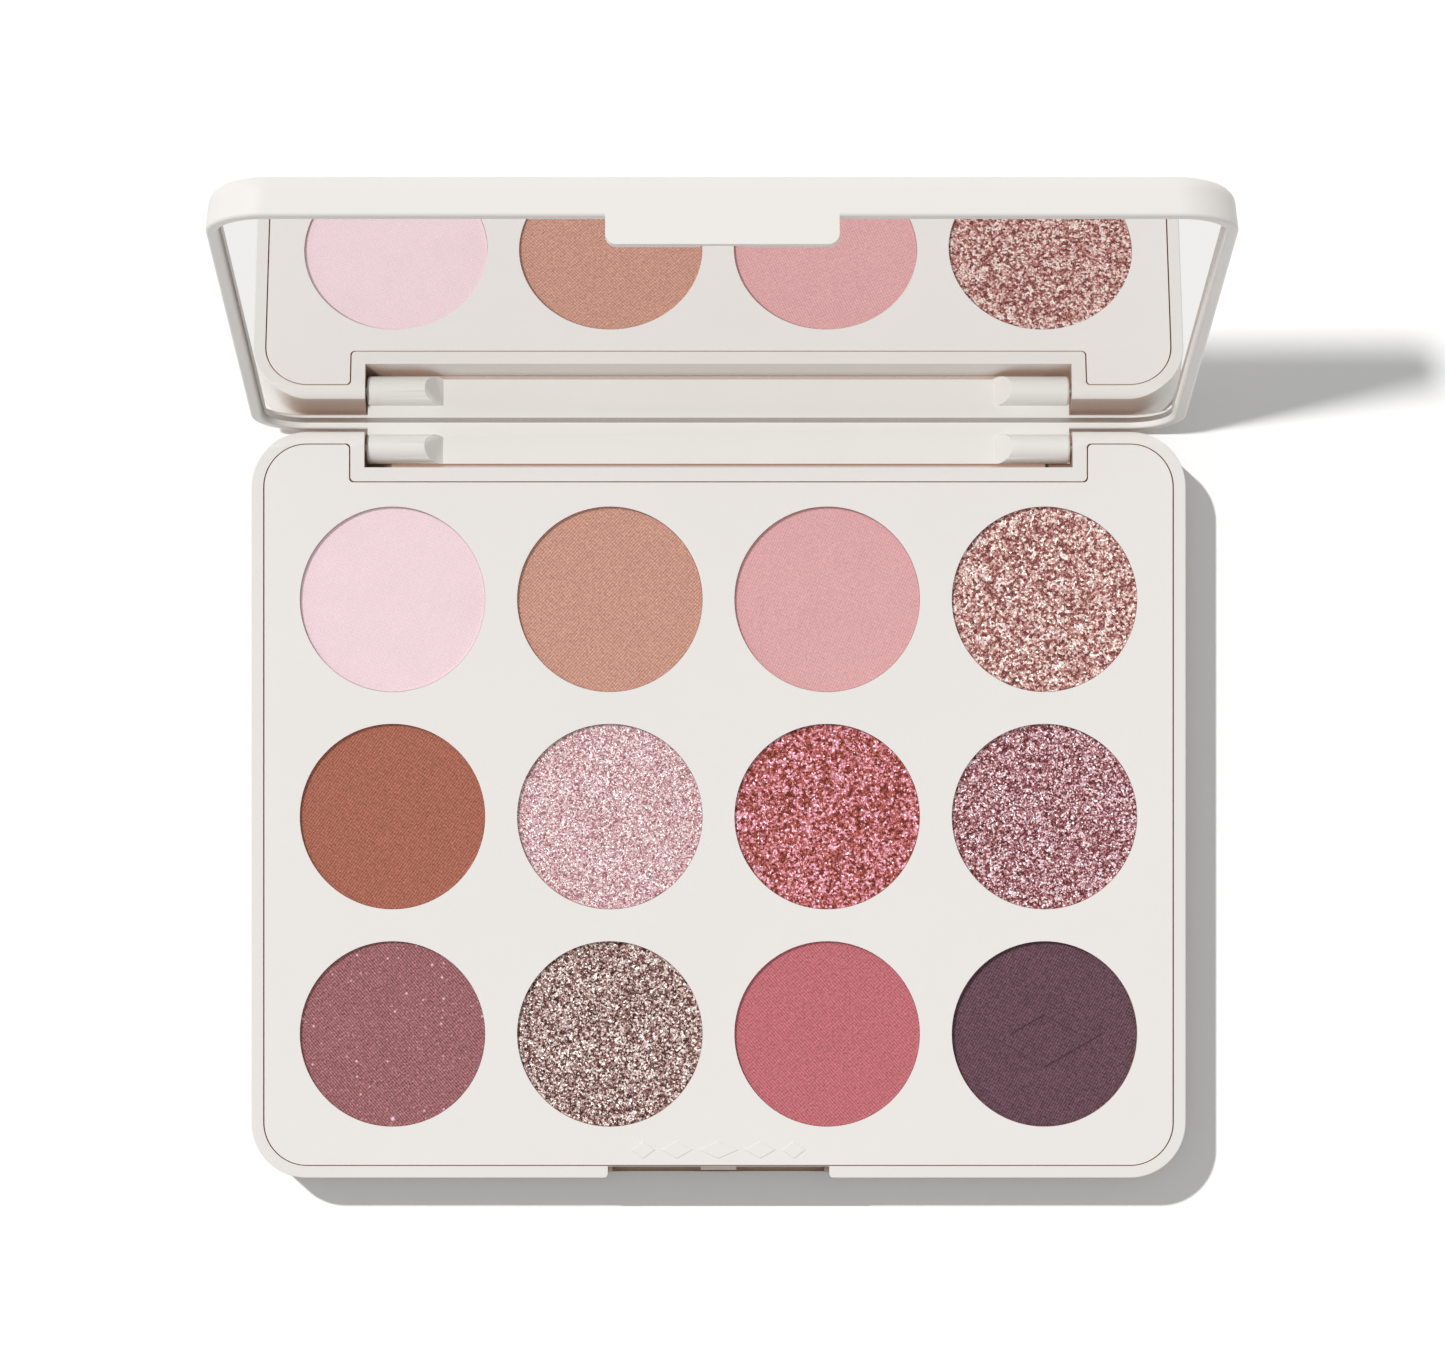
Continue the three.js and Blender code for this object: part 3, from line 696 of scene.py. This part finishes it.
def make_sun(name, direction, share, softness, receivers, blockers):
    """A far soft light; share is what it adds to a level white surface."""
    data = bpy.data.lights.new(name, "SUN")
    towards = Vector(direction).normalized()
    data.energy = share * math.pi / towards.z
    data.angle = math.radians(softness)
    data.color = (1.0, 0.995, 0.985)
    sun = bpy.data.objects.new(name, data)
    sun.rotation_mode = "QUATERNION"
    sun.rotation_quaternion = towards.to_track_quat("Z", "Y")
    sun.light_linking.receiver_collection = receivers
    sun.light_linking.blocker_collection = blockers
    bpy.context.scene.collection.objects.link(sun)


def make_world(strength):
    world = bpy.data.worlds.new("studio")
    world.use_nodes = True
    background = world.node_tree.nodes["Background"]
    background.inputs["Color"].default_value = (1.0, 0.995, 0.99, 1.0)
    background.inputs["Strength"].default_value = strength
    bpy.context.scene.world = world


def make_floor(name, y0, y1, material):
    half = FLOOR_REACH_MM * MM
    floor = new_object(name, [
        (-half, y0 * MM, 0), (half, y0 * MM, 0), (half, y1 * MM, 0), (-half, y1 * MM, 0),
    ], [(0, 1, 2, 3)])
    floor.data.materials.append(material)
    floor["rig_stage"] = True
    return floor


def make_shade_sheet(material):
    """A sheet on the floor that no sun lights, so that the front edge's shadow
    runs straight past the thumb notch."""
    y0 = -HALF_DEPTH - SUN_DROP * RIM_Z
    y1 = -HALF_DEPTH - SUN_DROP * THUMB_LEDGE_Z + SHEET_TUCK
    x0 = -THUMB_HALF_WIDTH + SUN_DRIFT * THUMB_LEDGE_Z - SHEET_MARGIN
    x1 = THUMB_HALF_WIDTH + SUN_DRIFT * RIM_Z + SHEET_MARGIN
    sheet = block((x0, y0, SHEET_LOW_Z), (x1, y1, SHEET_HIGH_Z))
    sheet.name = "shade_sheet"
    sheet.data.transform(Matrix.Scale(MM, 4))
    sheet.data.materials.append(material)
    sheet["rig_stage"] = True


def reflection_card_glow():
    nodes = Nodes("reflection_card_glow")
    cloud = nodes.noise(30, detail=2)
    # Painted reflection: a flat glow that the mirror shows in place of the shaded floor.
    nodes.set(
        Base_Color=(0.0, 0.0, 0.0, 1.0),
        Specular_IOR_Level=0.0,
        Emission_Color=nodes.mix(cloud, (0.9, 0.895, 0.885, 1.0), (0.93, 0.925, 0.915, 1.0)),
        Emission_Strength=1.0,
    )
    return nodes.material


def make_painted_reflection_card(name, side, material):
    """A white glowing card on the floor beside the base, seen only by the mirror: a painted
    reflection of bright floor where the floor's shadow would show, lighting nothing.
    """
    near, far = side * (HALF_WIDTH + CARD_GAP), side * (HALF_WIDTH + CARD_REACH)
    x0, x1 = min(near, far) * MM, max(near, far) * MM
    y0, y1, z = CARD_FRONT_Y * MM, CARD_BACK_Y * MM, CARD_Z * MM
    card = new_object(name, [(x0, y0, z), (x1, y0, z), (x1, y1, z), (x0, y1, z)], [(0, 1, 2, 3)])
    card.data.materials.append(material)
    card.visible_camera = False
    card.visible_diffuse = False
    card.visible_shadow = False
    card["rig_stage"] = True


def pale_paper():
    nodes = Nodes("pale_paper")
    cloud = nodes.noise(60, detail=2)
    nodes.set(
        Base_Color=nodes.mix(cloud, (0.744, 0.744, 0.744, 1.0), (0.754, 0.754, 0.754, 1.0)),
        Roughness=0.9,
        Specular_IOR_Level=0.0,
    )
    return nodes.material


# -------------------------------------------------------------------- base shell


def stop_height(y):
    """Height of the stop face, parallel to the open lid's back."""
    lean = math.radians(-HINGE["range_deg"][0] - 90)
    return AXIS.z - (TONGUE_RADIUS + STOP_GAP) / math.cos(lean) - (y - AXIS.y) * math.tan(lean)


def notch_section(cradled):
    """Section of the hinge notch, counter-clockwise seen from +X."""
    lean = math.radians(-HINGE["range_deg"][0] - 90)
    stop_y = AXIS.y + (stop_height(AXIS.y) - NOTCH_FLOOR_Z) / math.tan(lean)
    beyond_y = HALF_DEPTH + 1
    above = RIM_Z + 1
    front = [(NOTCH_FRONT_Y, above)]
    if cradled:
        radius = BARREL_RADIUS + CRADLE_GAP
        start = 180 + math.degrees(math.asin(CRADLE_LEDGE_DROP / radius))
        front.append((NOTCH_FRONT_Y, AXIS.z - CRADLE_LEDGE_DROP))
        front += arc(AXIS.y, AXIS.z, radius, start, CRADLE_END_DEGREES)
        end_y, end_z = front[-1]
        front.append((end_y + end_z - NOTCH_FLOOR_Z, NOTCH_FLOOR_Z))
    else:
        front.append((NOTCH_FRONT_Y, NOTCH_FLOOR_Z))
    back = [(stop_y, NOTCH_FLOOR_Z), (beyond_y, stop_height(beyond_y)), (beyond_y, above)]
    return front + back


def rear_roll_section():
    """What lies behind the arc, about the hinge axis, that rounds the rear rim."""
    radius = RIM_Z - AXIS.z
    end = math.degrees(math.acos(TONGUE_RADIUS / radius))
    curve = arc(AXIS.y, AXIS.z, radius, 90, end)
    beyond_y = HALF_DEPTH + 1
    return [(AXIS.y, RIM_Z + 1)] + curve + [(beyond_y, curve[-1][1]), (beyond_y, RIM_Z + 1)]


def thumb_outline(depth):
    """Plan of a cut into the front wall whose mouth has rounded corners."""
    half = THUMB_HALF_WIDTH
    front = -HALF_DEPTH
    return arc_outline([
        (-half - 1, front - 1, 0),
        (half + 1, front - 1, 0),
        (half + 1, front, 0),
        (half, front, THUMB_CORNER_RADIUS),
        (half, front + depth, 0),
        (-half, front + depth, 0),
        (-half, front, THUMB_CORNER_RADIUS),
        (-half - 1, front, 0),
    ])


def make_base_shell(material):
    shell = rounded_slab("base", palette_outline, 0, RIM_Z, FOOT_FILLET, RIM_FILLET)
    step_x = NOTCH_HALF_WIDTH + NOTCH_WALL
    step_y = NOTCH_FRONT_Y - NOTCH_WALL
    tray_space = notched_outline(RIM_WIDTH, step_x, step_y, NOTCH_CORNER_RADIUS)
    cavity = notched_outline(
        CAVITY_INSET,
        NOTCH_HALF_WIDTH + CAVITY_NOTCH_SIDE,
        NOTCH_FRONT_Y - CAVITY_NOTCH_FRONT,
        CAVITY_NOTCH_RADIUS,
    )
    combine(shell, "DIFFERENCE", prism(tray_space, TRAY_SEAT_Z, RIM_Z + 1))
    combine(shell, "DIFFERENCE", prism(cavity, FLOOR_Z, RIM_Z + 1))
    cradle = CRADLE_HALF_WIDTH
    notch = NOTCH_HALF_WIDTH
    combine(
        shell, "DIFFERENCE",
        sweep_x(notch_section(True), -cradle, cradle),
        sweep_x(notch_section(False), cradle - CRADLE_OVERLAP, notch),
        sweep_x(notch_section(False), -notch, CRADLE_OVERLAP - cradle),
        sweep_x(rear_roll_section(), -HALF_WIDTH - 1, HALF_WIDTH + 1),
        prism(thumb_outline(THUMB_WALL_DEPTH), THUMB_LEDGE_Z, RIM_Z + 1),
        prism(thumb_outline(THUMB_SCOOP_DEPTH), -1, THUMB_LEDGE_Z + 0.5),
    )
    nib = NIB_SIZE
    wall_y = THUMB_WALL_DEPTH - HALF_DEPTH
    reach = THUMB_HALF_WIDTH - THUMB_CORNER_RADIUS
    combine(shell, "DIFFERENCE", block(
        (-reach, THUMB_SCOOP_DEPTH + LEDGE_LIP - HALF_DEPTH, THUMB_LEDGE_Z - LEDGE_TRENCH),
        (reach, wall_y, THUMB_LEDGE_Z + 0.6),
    ))
    combine(shell, "UNION", block(
        (-nib.x / 2, wall_y - nib.y, NIB_Z),
        (nib.x / 2, wall_y + 0.5, NIB_Z + nib.z),
    ))
    soften(shell)
    return finish_piece(shell, "base_shell", [material], weighted=True)


# -------------------------------------------------------------------------- tray

LOZENGE_LENGTHS = (3.4, 4.4, 5.6, 4.4, 3.4)
LOZENGE_GAP = 0.75
LOZENGE_HALF_HEIGHT = 1.25
LOZENGE_SLOPE = 0.1
LOZENGE_SETBACK = 0.35


def lozenge(x, y, length, top_z):
    """A low raised lozenge with sloping sides, sunk a little into the tray."""
    def ring(shrink, z):
        half = length / 2 - shrink * 1.6
        tall = LOZENGE_HALF_HEIGHT - shrink
        return [(x - half, y, z), (x, y - tall, z), (x + half, y, z), (x, y + tall, z)]
    return loft("lozenge", [
        ring(0, TRAY_LOW.z + 0.4),
        ring(0, RIM_Z),
        ring(LOZENGE_SLOPE, top_z),
    ])


def make_tray(material, powder_centres):
    step_x = NOTCH_HALF_WIDTH + NOTCH_WALL + GROOVE
    step_y = NOTCH_FRONT_Y - NOTCH_WALL - GROOVE
    outline = notched_outline(RIM_WIDTH + GROOVE, step_x, step_y, NOTCH_CORNER_RADIUS)
    tray = prism(outline, TRAY_LOW.z, RIM_Z)
    reach = HALF_DEPTH - RIM_WIDTH
    tray.data.transform(Matrix.Scale((reach - END_GROOVE) / (reach - GROOVE), 4, (0, 1, 0)))
    front_row_y = min(c.y for c in powder_centres)
    centre_y = (-HALF_DEPTH + front_row_y - HOLE_RADIUS) / 2 + LOZENGE_SETBACK
    x = -(sum(LOZENGE_LENGTHS) + LOZENGE_GAP * (len(LOZENGE_LENGTHS) - 1)) / 2
    for length in LOZENGE_LENGTHS:
        combine(tray, "UNION", lozenge(x + length / 2, centre_y, length, TRAY_HIGH.z))
        x += length + LOZENGE_GAP
    for centre in powder_centres:
        profile = [(HOLE_RADIUS, TRAY_LOW.z - 1), (HOLE_RADIUS, RIM_Z + 1)]
        combine(tray, "DIFFERENCE", turned("hole", centre, profile, HOLE_STEPS))
    soften(tray, TRAY_EDGE_BEVEL, 30)
    return finish_piece(tray, "pan_tray", [material], weighted=True)


# ---------------------------------------------------------------- pans and powder

PAN_SHEET = 0.35
PAN_BEND = 0.5
PAN_RIM_Z = box_of("pan_r1c1")[1].z
POWDER_SPREAD = 0.17
POWDER_EDGE = 0.06
POWDER_CROWN = 0.04
POWDER_OVERHANG = 0.3
POWDER_UNDERCUT = 0.12


def make_pan(node, material):
    low, high = box_of(node)
    centre = (low + high) / 2
    outer = (high.x - low.x) / 2
    inner = outer - PAN_SHEET
    floor = low.z + PAN_SHEET
    profile = [(outer - PAN_BEND, low.z), (outer, low.z + PAN_BEND), (outer, high.z)]
    profile += [(inner, high.z), (inner, floor + PAN_BEND / 2), (inner - PAN_BEND / 2, floor)]
    return finish_piece(turned("pan", centre, profile), node, [material], weighted=True)


def make_disc(node, material):
    low, high = box_of(node)
    radius = (high.x - low.x) / 2
    inner = radius - 0.1
    edge = 0.06
    profile = [(inner, low.z), (radius, low.z + edge), (radius, high.z - edge), (inner, high.z)]
    disc = turned("disc", (low + high) / 2, profile, 48)
    return finish_piece(disc, node, [material], weighted=True)


def top_faces(ring_count):
    """Triangles between a centre point and rings of 6, 12, 18... points."""
    starts = [0] + [1 + 3 * ring * (ring - 1) for ring in range(1, ring_count + 1)]
    faces = []
    for ring in range(1, ring_count + 1):
        inner_count = 6 * (ring - 1)
        for sector in range(6):
            for k in range(ring):
                a = starts[ring] + (sector * ring + k) % (6 * ring)
                b = starts[ring] + (sector * ring + k + 1) % (6 * ring)
                if ring == 1:
                    faces.append((0, a, b))
                    continue
                p = starts[ring - 1] + (sector * (ring - 1) + k) % inner_count
                faces.append((p, a, b))
                if k < ring - 1:
                    q = starts[ring - 1] + (sector * (ring - 1) + k + 1) % inner_count
                    faces.append((p, b, q))
    return faces


def ring_points(centre, radius, count, height_at):
    points = []
    for k in range(count):
        turn = 2 * math.pi * k / count
        x = radius * math.cos(turn)
        y = radius * math.sin(turn)
        points.append((centre.x + x, centre.y + y, height_at(x, y)))
    return points


def powder_shape(node, spacing, height_at):
    """A pressed cake: a fine triangle mesh on top, a rounded edge and plain sides.
    Above its pan the cake spreads until it all but fills the tray's hole.
    height_at(x, y) adds to the crowned top."""
    low, high = box_of(node)
    centre = (low + high) / 2
    pan_radius = (high.x - low.x) / 2
    radius = pan_radius + POWDER_SPREAD
    flat_radius = radius - POWDER_EDGE
    ring_count = round(flat_radius / spacing)

    def top_at(x, y):
        share = math.hypot(x, y) / radius
        return high.z - POWDER_CROWN * share ** 2 + height_at(x, y)

    points = [(centre.x, centre.y, top_at(0, 0))]
    for ring in range(1, ring_count + 1):
        points += ring_points(centre, flat_radius * ring / ring_count, 6 * ring, top_at)
    faces = top_faces(ring_count)

    edge_z = high.z - POWDER_CROWN
    levels = []
    for step in range(1, FILLET_STEPS + 1):
        turn = math.pi / 2 * step / FILLET_STEPS
        out = POWDER_EDGE * math.sin(turn)
        levels.append((flat_radius + out, edge_z - POWDER_EDGE * (1 - math.cos(turn))))
    levels.append((radius, PAN_RIM_Z + POWDER_OVERHANG))
    levels.append((pan_radius, PAN_RIM_Z + POWDER_UNDERCUT))
    levels.append((pan_radius, low.z))

    edge_count = 6 * ring_count
    previous = len(points) - edge_count
    for level_radius, z in levels:
        start = len(points)
        points += ring_points(centre, level_radius, edge_count, lambda x, y: z)
        for k in range(edge_count):
            after = (k + 1) % edge_count
            faces.append((previous + k, start + k, start + after, previous + after))
        previous = start
    faces.append([previous + k for k in reversed(range(edge_count))])
    return new_object("powder", points, faces)


def smooth_noise(seed, cell_mm):
    """Seeded value noise of two coordinates in millimetres, from -1 to 1."""
    source = np.random.RandomState(seed)
    size = 64
    grid = source.uniform(-1, 1, (size, size))

    def at(x, y):
        u = x / cell_mm + size / 2
        v = y / cell_mm + size / 2
        i, j = int(math.floor(u)), int(math.floor(v))
        fu, fv = u - i, v - j
        fu, fv = fu * fu * (3 - 2 * fu), fv * fv * (3 - 2 * fv)
        i0, i1, j0, j1 = i % size, (i + 1) % size, j % size, (j + 1) % size
        low = grid[i0, j0] * (1 - fu) + grid[i1, j0] * fu
        high = grid[i0, j1] * (1 - fu) + grid[i1, j1] * fu
        return low * (1 - fv) + high * fv
    return at


MATTE_SPACING = 0.36
GLITTER_SPACING = 0.2
MOTIF_SPACING = 0.12


def matte_height(seed):
    slow = smooth_noise(seed, 4.0)
    fine = smooth_noise(seed + 1, 0.7)
    return lambda x, y: 0.015 * slow(x, y) + 0.006 * fine(x, y) - 0.02


def glitter_height(seed, relief):
    source = random.Random(seed)
    slow = smooth_noise(seed, 1.6)
    return lambda x, y: (
        relief * source.uniform(-1, 1) + 0.5 * relief * slow(x, y) - 1.6 * relief
    )


MOTIF_OUTER = (8.0, 4.6)
MOTIF_INNER = (4.6, 2.65)
MOTIF_RELIEF = 0.3
MOTIF_SINK = 0.25
MOTIF_EDGE = 0.2


def motif_height(seed):
    """Two nested lozenge lines pressed up out of the powder."""
    ground = matte_height(seed)

    def plateau(x, y, half_x, half_y):
        inside = 1 - abs(x) / half_x - abs(y) / half_y
        reach = inside * half_x * half_y / math.hypot(half_x, half_y)
        step = min(1.0, max(0.0, reach / MOTIF_EDGE + 0.5))
        return step * step * (3 - 2 * step)

    def at(x, y):
        frame_line = plateau(x, y, *MOTIF_OUTER) - plateau(x, y, *MOTIF_INNER)
        return ground(x, y) + MOTIF_RELIEF * frame_line - MOTIF_SINK
    return at


def make_powder(node, nodes, spacing, height_at):
    return finish_piece(powder_shape(node, spacing, height_at), node, [nodes.material])


# --------------------------------------------------------------------------- lid


def tongue_section():
    """The lid's rear wall run on down to the hinge, counter-clockwise from +X."""
    start = 360 - math.degrees(math.acos((LID_INNER_Y - AXIS.y) / BARREL_RADIUS))
    points = [(LID_INNER_Y, SEAM_Z + 1)]
    points += arc(AXIS.y, AXIS.z, BARREL_RADIUS, start, TONGUE_FOOT_DEGREES, 40)
    points += [(HALF_DEPTH, AXIS.z), (HALF_DEPTH, SEAM_Z + 1)]
    return points


def barrel_slope(side):
    """Cuts a barrel's inner end to a slope, from its crown down to the wall."""
    crown_y = AXIS.y - BARREL_RADIUS
    slope = (LID_INNER_Y - crown_y) / BARREL_SLOPE_LENGTH
    section = [
        (WEB_HALF_WIDTH, crown_y - 1),
        (WEB_HALF_WIDTH + BARREL_SLOPE_LENGTH + 1 / slope, crown_y - 1),
        (WEB_HALF_WIDTH, LID_INNER_Y),
    ]
    if side < 0:
        section = [(-x, y) for x, y in reversed(section)]
    return prism(section, AXIS.z - BARREL_RADIUS - 1, AXIS.z + BARREL_RADIUS + 0.5)


def mirror_space():
    """The space inside the lid's rim, its mouth flared by a fillet."""
    rings = [(LID_RIM_WIDTH - LID_MOUTH_FILLET, SEAM_Z - 1)]
    for step in range(FILLET_STEPS + 1):
        turn = math.pi / 2 * step / FILLET_STEPS
        inset = LID_RIM_WIDTH - LID_MOUTH_FILLET * (1 - math.sin(turn))
        rings.append((inset, SEAM_Z + LID_MOUTH_FILLET * (1 - math.cos(turn))))
    rings.append((LID_RIM_WIDTH, LID_LEDGE_Z))
    return loft("space", [[(x, y, z) for x, y in palette_outline(i)] for i, z in rings])


def make_lid_shell(material):
    shell = rounded_slab("lid", palette_outline, SEAM_Z, LID_TOP_Z, LID_RIM_FILLET, LID_EDGE_FILLET)
    draft_sides(shell, SEAM_Z, LID_SIDE_DRAFT)
    combine(shell, "DIFFERENCE", mirror_space())
    tongue = sweep_x(tongue_section(), -TONGUE_HALF_WIDTH, TONGUE_HALF_WIDTH)
    for side in (-1, 1):
        ends = sorted((side * WEB_HALF_WIDTH, side * TONGUE_HALF_WIDTH))
        fillets = (BARREL_END_FILLET, 0) if side < 0 else (0, BARREL_END_FILLET)
        barrel = rod_x(BARREL_RADIUS, *ends, *fillets)
        combine(barrel, "DIFFERENCE", barrel_slope(side))
        combine(tongue, "UNION", barrel)
    combine(shell, "UNION", tongue)
    tab = arc_outline([
        (-TAB_HALF_WIDTH, SEAM_Z - TAB_LENGTH, TAB_CORNER_RADIUS),
        (TAB_HALF_WIDTH, SEAM_Z - TAB_LENGTH, TAB_CORNER_RADIUS),
        (TAB_HALF_WIDTH, SEAM_Z + 1, 0),
        (-TAB_HALF_WIDTH, SEAM_Z + 1, 0),
    ])
    tab_solid = loft("tab", [
        [(x, y, z) for x, z in tab] for y in (-HALF_DEPTH + TAB_THICKNESS, -HALF_DEPTH + TAB_FACE_INSET)
    ])
    combine(shell, "UNION", tab_solid)
    inner_face = -HALF_DEPTH + TAB_THICKNESS
    combine(shell, "DIFFERENCE", block(
        (-CHANNEL_HALF_WIDTH, inner_face - CHANNEL_DEPTH, SEAM_Z - TAB_LENGTH - 1),
        (CHANNEL_HALF_WIDTH, inner_face + 1, CHANNEL_TOP_Z),
    ))
    soften(shell)
    return finish_piece(shell, "lid_shell", [material], weighted=True)


def make_mirror(silvered, ground_edge):
    """A plate of mirror glass: a silvered face inside a ground sloping edge, which
    is widest along the hinge."""
    inset = HALF_WIDTH - MIRROR_HIGH.x
    face_inset = inset + MIRROR_GRIND
    x, y, radius = HALF_WIDTH - face_inset, HALF_DEPTH - face_inset, CORNER_RADIUS - face_inset
    foot_y = HALF_DEPTH - inset - MIRROR_FOOT_GRIND
    face = arc_outline([
        (-x, -y, radius), (x, -y, radius), (x, foot_y, radius), (-x, foot_y, radius),
    ])
    face_z = MIRROR_LOW.z + MIRROR_FACE_DEPTH
    rings = [[(x, y, face_z) for x, y in face]]
    for z in (MIRROR_LOW.z + MIRROR_EDGE_LIFT, MIRROR_HIGH.z):
        rings.append([(x, y, z) for x, y in palette_outline(inset)])
    mirror = loft("mirror", rings)
    finish_piece(mirror, "mirror", [silvered, ground_edge])
    mirror.data.shade_flat()
    for polygon in mirror.data.polygons:
        polygon.material_index = 1
    mirror.data.polygons[0].material_index = 0
    return mirror


def make_tape(node, material):
    low, high = box_of(node)
    return finish_piece(block(low, high), node, [material], weighted=True)


PIN_FILLET = 0.2


def make_pin(node, material):
    low, high = box_of(node)
    rod = rod_x((high.z - low.z) / 2, low.x, high.x, PIN_FILLET, PIN_FILLET, 32)
    return finish_piece(rod, node, [material], weighted=True)


# ------------------------------------------------------------------ the scene

bpy.context.scene.view_settings.view_transform = "Standard"

# What the lights together add to a level white surface.
LIGHT = 1.1
TRAY_WHITE = scaled(linear(235, 231, 228), 1 / LIGHT)
SHELL_WHITE = scaled(linear(232, 228, 224), 1 / LIGHT)
LID_WHITE = scaled(linear(231, 228, 224), 1 / LIGHT)


def lit(red, green, blue):
    """The surface colour that shows as this display colour under the lights."""
    return scaled(linear(red, green, blue), 1 / LIGHT)


# Painted shading: base and tray recesses painted darker and browner, the lid's recesses painted
# lighter; the last number is the painted glow in tight gaps.
base_plastic = moulded_plastic("base_plastic", SHELL_WHITE, (0.6, 0.43, 0.35), 0.05)
lid_plastic = moulded_plastic("lid_plastic", LID_WHITE, (1.13, 1.15, 1.17), 0.02)
tray_plastic = moulded_plastic("tray_plastic", TRAY_WHITE, (0.62, 0.44, 0.35), 0.15)
pan_metal = brushed_metal("pan_metal", linear(190, 191, 193), 0.35)
pin_steel = brushed_metal("pin_steel", linear(176, 178, 180), 0.3)
tape_foam = dull("tape_foam", linear(233, 230, 223), 0.9)
glue = dull("glue", linear(230, 223, 202), 0.5)

# Matte powders have a colour, the pressing cloth's angle and thread spacing, and a
# contrast. Glitters have their flakes' tones from dark to bright, a flake's size
# and how strongly the tones cluster; beside the flakes' own colours, the darkest
# tones carry painted shade between flakes and the brightest painted glints.
MATTE_LOOKS = {
    "powder_r1c1": (lit(242, 217, 223), 20, 0.34, 0.05),
    "powder_r1c2": (lit(202, 152, 135), 42, 0.33, 0.25),
    "powder_r1c3": (lit(223, 169, 171), 24, 0.34, 0.13),
    "powder_r2c1": (lit(169, 105, 87), 35, 0.34, 0.3),
    "powder_r3c1": (lit(156, 103, 106), -40, 0.33, 0.45),
    "powder_r3c3": (lit(192, 110, 117), -42, 0.34, 0.26),
    "powder_r3c4": (lit(103, 74, 84), 28, 0.34, 0.42),
}
GLITTER_LOOKS = {
    "powder_r1c4": (
        [(108, 50, 48), (170, 106, 100), (214, 166, 158), (255, 246, 238)], 0.32, 0.55,
    ),
    "powder_r2c2": (
        [(146, 90, 96), (200, 150, 155), (228, 192, 194), (255, 246, 244)], 0.2, 0.32,
    ),
    "powder_r2c3": (
        [(104, 32, 20), (164, 76, 58), (202, 108, 110), (250, 190, 212)], 0.31, 0.85,
    ),
    "powder_r2c4": (
        [(78, 18, 20), (142, 75, 79), (193, 132, 138), (255, 238, 244)], 0.25, 0.68,
    ),
    "powder_r3c2": (
        [(52, 14, 10), (126, 82, 75), (188, 153, 146), (255, 247, 241)], 0.25, 0.58,
    ),
}
TONE_PLACES = (0.21, 0.43, 0.61, 0.83)
FLAKE_METALLIC = 0.25
FLAKE_RELIEF = 0.03
# Painted glints: layers of bright specks, each with a spacing, a radius, a share and a colour.
SPARKLES = (
    (0.6, 0.15, 0.5, lit(200, 152, 158)),
    (1.3, 0.22, 0.5, lit(240, 196, 214)),
    (4.8, 0.42, 0.45, lit(255, 214, 250)),
)

make_camera()
paper = pale_paper()
# Painted reflection: glowing cards that only the mirror shows, hiding the floor's shadow in it.
reflection_card_material = reflection_card_glow()
make_painted_reflection_card("left_reflection_card", -1, reflection_card_material)
make_painted_reflection_card("right_reflection_card", 1, reflection_card_material)
front_floor = make_floor("front_floor", -FLOOR_REACH_MM, HALF_DEPTH, paper)
rear_floor = make_floor("rear_floor", HALF_DEPTH, FLOOR_REACH_MM, paper)
make_base_shell(base_plastic)
powder_nodes = sorted([*MATTE_LOOKS, *GLITTER_LOOKS])
centres = []
for node in powder_nodes:
    low, high = box_of(node)
    centres.append((low + high) / 2)
make_tray(tray_plastic, centres)

for index, node in enumerate(powder_nodes):
    label = node.removeprefix("powder_")
    make_pan(f"pan_{label}", pan_metal)
    make_disc(f"glue_dot_{label}", glue)
    if node in GLITTER_LOOKS:
        tones, flake_mm, cluster = GLITTER_LOOKS[node]
        stops = [(place, lit(*tone)) for place, tone in zip(TONE_PLACES, tones)]
        nodes = glitter_powder(SLOTS[node], stops, flake_mm, cluster, FLAKE_METALLIC)
        make_powder(node, nodes, GLITTER_SPACING, glitter_height(index, FLAKE_RELIEF))
        continue
    nodes = matte_powder(SLOTS[node], *MATTE_LOOKS[node])
    if node == "powder_r3c1":
        for sparkle in SPARKLES:
            add_sparkles(nodes, *sparkle)
    if node == "powder_r3c4":
        make_powder(node, nodes, MOTIF_SPACING, motif_height(index))
    else:
        make_powder(node, nodes, MATTE_SPACING, matte_height(index))

for side in ("left", "right"):
    make_pin(f"hinge_pin_{side}", pin_steel)
    make_tape(f"mirror_tape_{side}", tape_foam)
make_lid_shell(lid_plastic)
make_mirror(silvered_glass(), glass_edge())

# One soft sun lights the palette. The floor in front and the floor behind have a
# sun each, so that the base's shadow and the lid's lie where the studio's do.


def group(name, members):
    made = bpy.data.collections.new(name)
    for member in members:
        made.objects.link(member)
    return made


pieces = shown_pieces()
lid_pieces = group("lid_pieces", [p for p in pieces if p["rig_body"] == "lid"])
base_pieces = group("base_pieces", [p for p in pieces if p["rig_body"] == "base"])
all_pieces = group("all_pieces", pieces)
make_shade_sheet(paper)
front = group("front", [front_floor])
rear = group("rear", [rear_floor])
make_sun("palette_sun", (-SUN_DRIFT, SUN_DROP, 1.0), 0.55, 9, all_pieces, base_pieces)
make_sun("front_floor_sun", (-SUN_DRIFT, SUN_DROP, 1.0), 0.81, 1.5, front, base_pieces)
make_sun("rear_floor_sun", (-0.375, 0.15, 1.0), 0.8, 3.2, rear, lid_pieces)
make_world(0.57)
